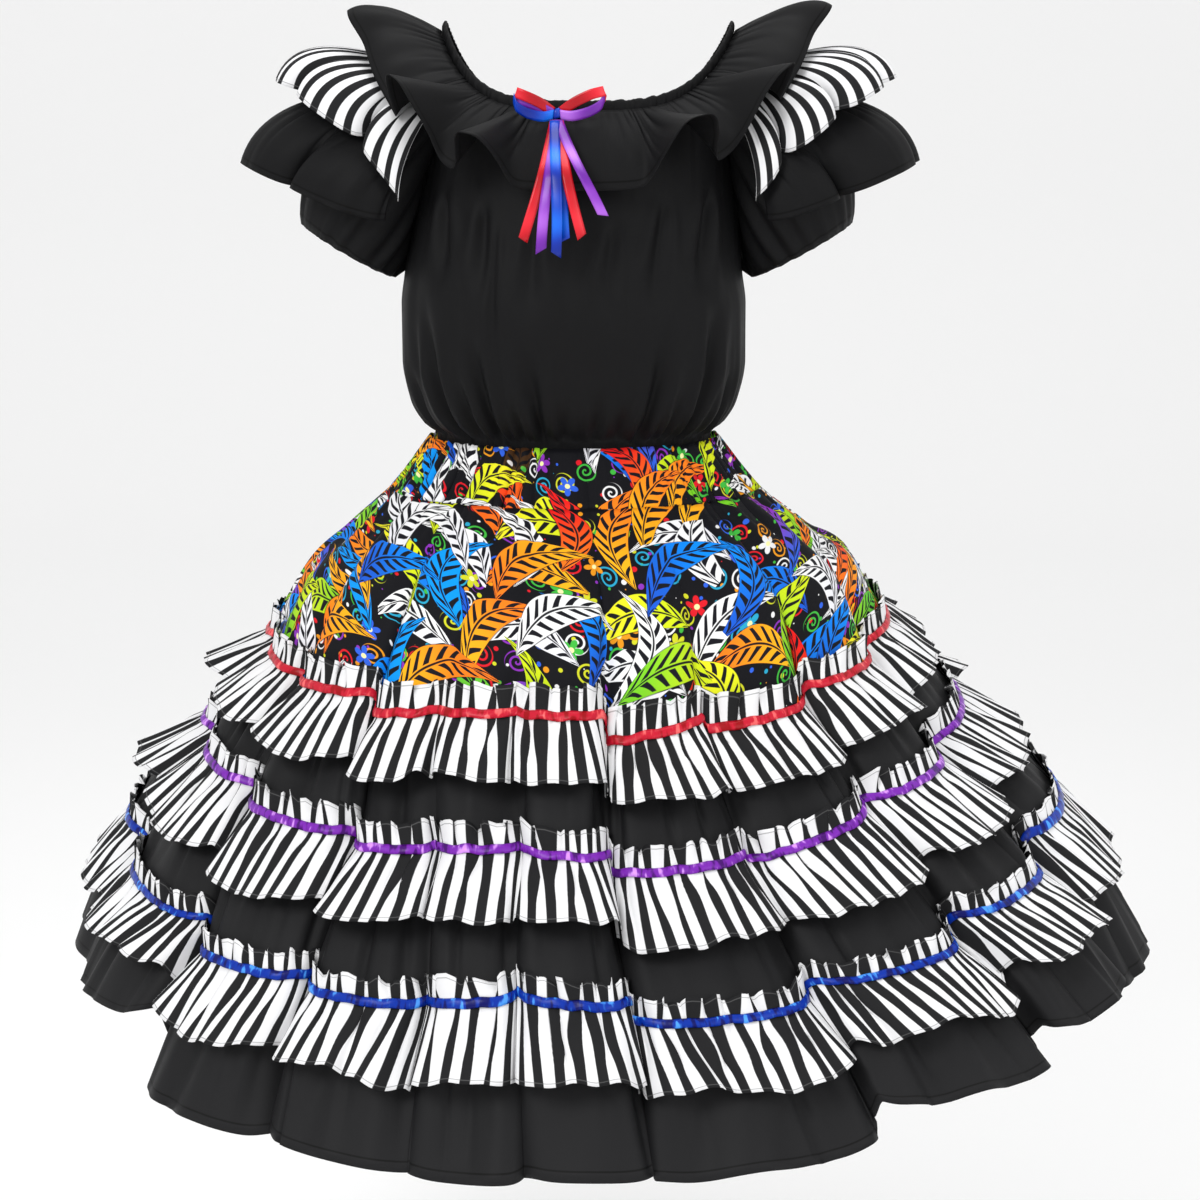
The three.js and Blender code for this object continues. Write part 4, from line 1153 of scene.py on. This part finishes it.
SIDES = {"left": 1, "right": -1}
CASINGS = ["neck_casing_" + half for half in HALVES]
for word, side in SIDES.items():
    cloth("sleeve_" + word, *sleeve(side), BLACK_HEM, 0.9, "gathered", CASINGS)
for word, side in SIDES.items():
    under = ["sleeve_" + word]
    striped = shoulder_ruffle(side, STRIPED, STRIPED_VALLEYS[word], 1300 + side)
    cloth("shoulder_ruffle_" + word, *striped, STRIPES_ONE, 0.6, "gathered", under)
    black = shoulder_ruffle(side, SLEEVE_BLACK, BLACK_VALLEYS[word], 1350 + side)
    cloth("sleeve_ruffle_" + word, *black, BLACK_HEM, 0.7, "gathered", under)


# ---- bow
KNOT = np.array([-13.0, -111.7, 290.6])
BOW_WIDE = 9.0  # width that shows of the bow's ribbon


def ribbon_strip(name, path, across, tone, node=None, slant=0.0):
    """Narrow satin ribbon along a path, with its end cut at a slant, in mm."""
    across = unit(across)
    places = np.array([1, 0.5, 0, -0.5, -1])
    rows = path + places[:, None, None] * across * (BOW_WIDE / 2)
    rows[:, -1] += unit(path[-1] - path[-3]) * places[:, None] * slant
    # a slight curve across the width gives satin its highlight
    rows = rows + unit(np.cross(np.gradient(path, axis=0), across)) * (0.35 * (1 - places**2))[:, None, None]
    length = arc(path[None])[0]
    obj = shell(name, rows, flat_of(length, places * BOW_WIDE / 2), BOW[tone], 0.3)
    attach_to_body(obj, "root")
    if node:
        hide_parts(node)


def curve(points, n):
    pts = np.asarray(points, float)
    t = np.arange(len(pts))
    x = np.linspace(0, len(pts) - 1, n)
    return np.stack([hermite(x, t, pts[:, k]) for k in range(3)], -1)


# Loops: which solid each stands for, its colour, offsets from the knot, and direction across the ribbon.
LOOPS = [
    ("left", True, "red", [(3, 0, 1), (16, -5, 10), (32, -7, 17), (41, -4, 19), (40, -1, 14)],
     (0.35, 0.1, -0.9)),
    ("left_low", False, "purple", [(41, -3, 15), (38, -5, 8), (26, -6, 1), (12, -4.5, -2), (3, -2, -1)],
     (0.1, 0.2, -0.95)),
    ("right", True, "red", [(-3, 0, 1), (-14, -5, 9), (-27, -7, 15), (-35, -4, 18), (-34, -1, 14)],
     (0.35, -0.1, 0.9)),
    ("right_mid", False, "purple", [(-4, -1, 0), (-14, -3.5, 5), (-26, -4.5, 10), (-35, -2.5, 13)],
     (0.3, -0.1, 0.9)),
    ("right_low", False, "blue",
     [(-37, -3, 13), (-35, -5.5, 7), (-24, -6.5, 0), (-12, -4.5, -2.5), (-3, -2, -1)], (0.1, -0.2, 0.95)),
]
for word, stands, tone, offsets, across in LOOPS:
    name = "bow_loop_" + word
    path = curve([KNOT + np.array([x, y - 1.0, z]) for x, y, z in offsets], 34)
    ribbon_strip(name, path, np.tile(across, (34, 1)), tone, name if stands else None)

# Tails, from the one that lies lowest: number, side place and height of the end, colour, slant of the end.
TAILS = [
    (1, -40, 186, "red", 2.6),
    (4, -4, 186, "blue", -2.2),
    (2, -25, 177, "purple", -2.8),
    (5, 8, 189, "red", -3.0),
    (6, 25, 207, "purple", 0.6),
    (3, -14, 174, "blue", 2.6),
]
HANG_Z, HANG_Y = (170, 205, 238, 262, 288), (168, 169, 163, 141, 111)  # how they hang in front of the blouse
for i, (number, x, z, tone, slant) in enumerate(TAILS):
    top = KNOT[2] - 5.2 - (0.5 if i > 4 else 0)
    zz = np.linspace(top, z, 40)
    share = (top - zz) / (top - z)
    xx = mix(KNOT[0] + 0.06 * (x - KNOT[0]), x, share) + 1.6 * np.sin(share * math.pi * 1.2 + i)
    yy = -hermite(zz, HANG_Z, HANG_Y) - 1.3 * i
    twist = 0.25 * np.sin(share * 3 + i * 1.7)
    across = np.stack([np.cos(twist), np.sin(twist), 0 * twist], -1)
    name = f"bow_tail_{number}"
    ribbon_strip(name, np.stack([xx, yy, zz], -1), across, tone, name, slant)

# Knot: one ribbon wrapped round the others.
KNOT_R = 4.4
t = np.linspace(0, TAU, 40)
z = np.linspace(KNOT_R, -KNOT_R, 9)[:, None]
r = KNOT_R * (1 - 0.35 * (abs(z) / KNOT_R) ** 3)
p = np.stack([KNOT[0] + r * np.sin(t), KNOT[1] - r * 0.85 * np.cos(t), KNOT[2] + z + 0.6 * np.sin(2 * t)], -1)
uv = flat_of(t * KNOT_R, np.linspace(0, 9, 9))
cloth("bow_knot", p, uv, BOW["blue"], 0.4, "gathered", ["neck_ruffle_front"], RIBBON_CUT)


# ---- stage, light, camera
# Section of the floor, which turns up into a wall far behind: distance back and height, in metres.
PROFILE = [(-4.0, -1.05), (3.0, -1.05), (4.5, -0.9), (5.5, -0.2), (6.0, 1.0), (6.0, 7.0)]
FLOOR_HALF = 9.0
back, up = curve([(0, y, z) for y, z in PROFILE], 60)[:, 1:].T
pts = np.stack([(x, y, z) for y, z in zip(back, up) for x in (-FLOOR_HALF, FLOOR_HALF)])
ids = np.arange(120).reshape(60, 2)
quads = np.stack([ids[:-1, 0], ids[:-1, 1], ids[1:, 1], ids[1:, 0]], -1)
pale = Material("pale_floor", 0.9)
pale.colour((0.97, 0.97, 0.97, 1))
mesh_of("floor", pts, quads, np.zeros((120, 2)), pale.made)

scene = bpy.context.scene
world = bpy.data.worlds.new("studio")
scene.world = world
world.use_nodes = True
sky = world.node_tree.nodes["Background"]
sky.inputs[0].default_value, sky.inputs[1].default_value = (1, 1, 1, 1), 0.8


def area_light(name, at, target, size, power):
    data = bpy.data.lights.new(name, "AREA")
    data.energy, data.shape, data.size, data.size_y = power, "RECTANGLE", size[0], size[1]
    obj = bpy.data.objects.new(name, data)
    obj.location = at
    obj.rotation_mode = "QUATERNION"
    obj.rotation_quaternion = (Vector(target) - Vector(at)).to_track_quat("-Z", "Y")
    scene.collection.objects.link(obj)


area_light("key", (-1.6, -2.6, 1.9), (0, 0, -0.1), (1.2, 1.2), 50)
area_light("fill", (2.2, -2.2, 0.9), (0, 0, -0.15), (1.6, 1.6), 20)
area_light("top", (0.2, 0.4, 2.6), (0, 0, 0), (1.6, 1.6), 26)

camera_data = bpy.data.cameras.new("camera")
camera = bpy.data.objects.new("camera", camera_data)
scene.collection.objects.link(camera)
scene.camera = camera
camera_data.sensor_width = 36
camera_data.lens = 75.2
camera.location = (0.024, -2.3, 0.299)
camera.rotation_euler = (math.radians(90 - 11.2), 0, 0)
camera_data.clip_end = 50

scene.view_settings.view_transform = "Standard"
scene.view_settings.look = "None"
scene.view_settings.exposure = 0.0
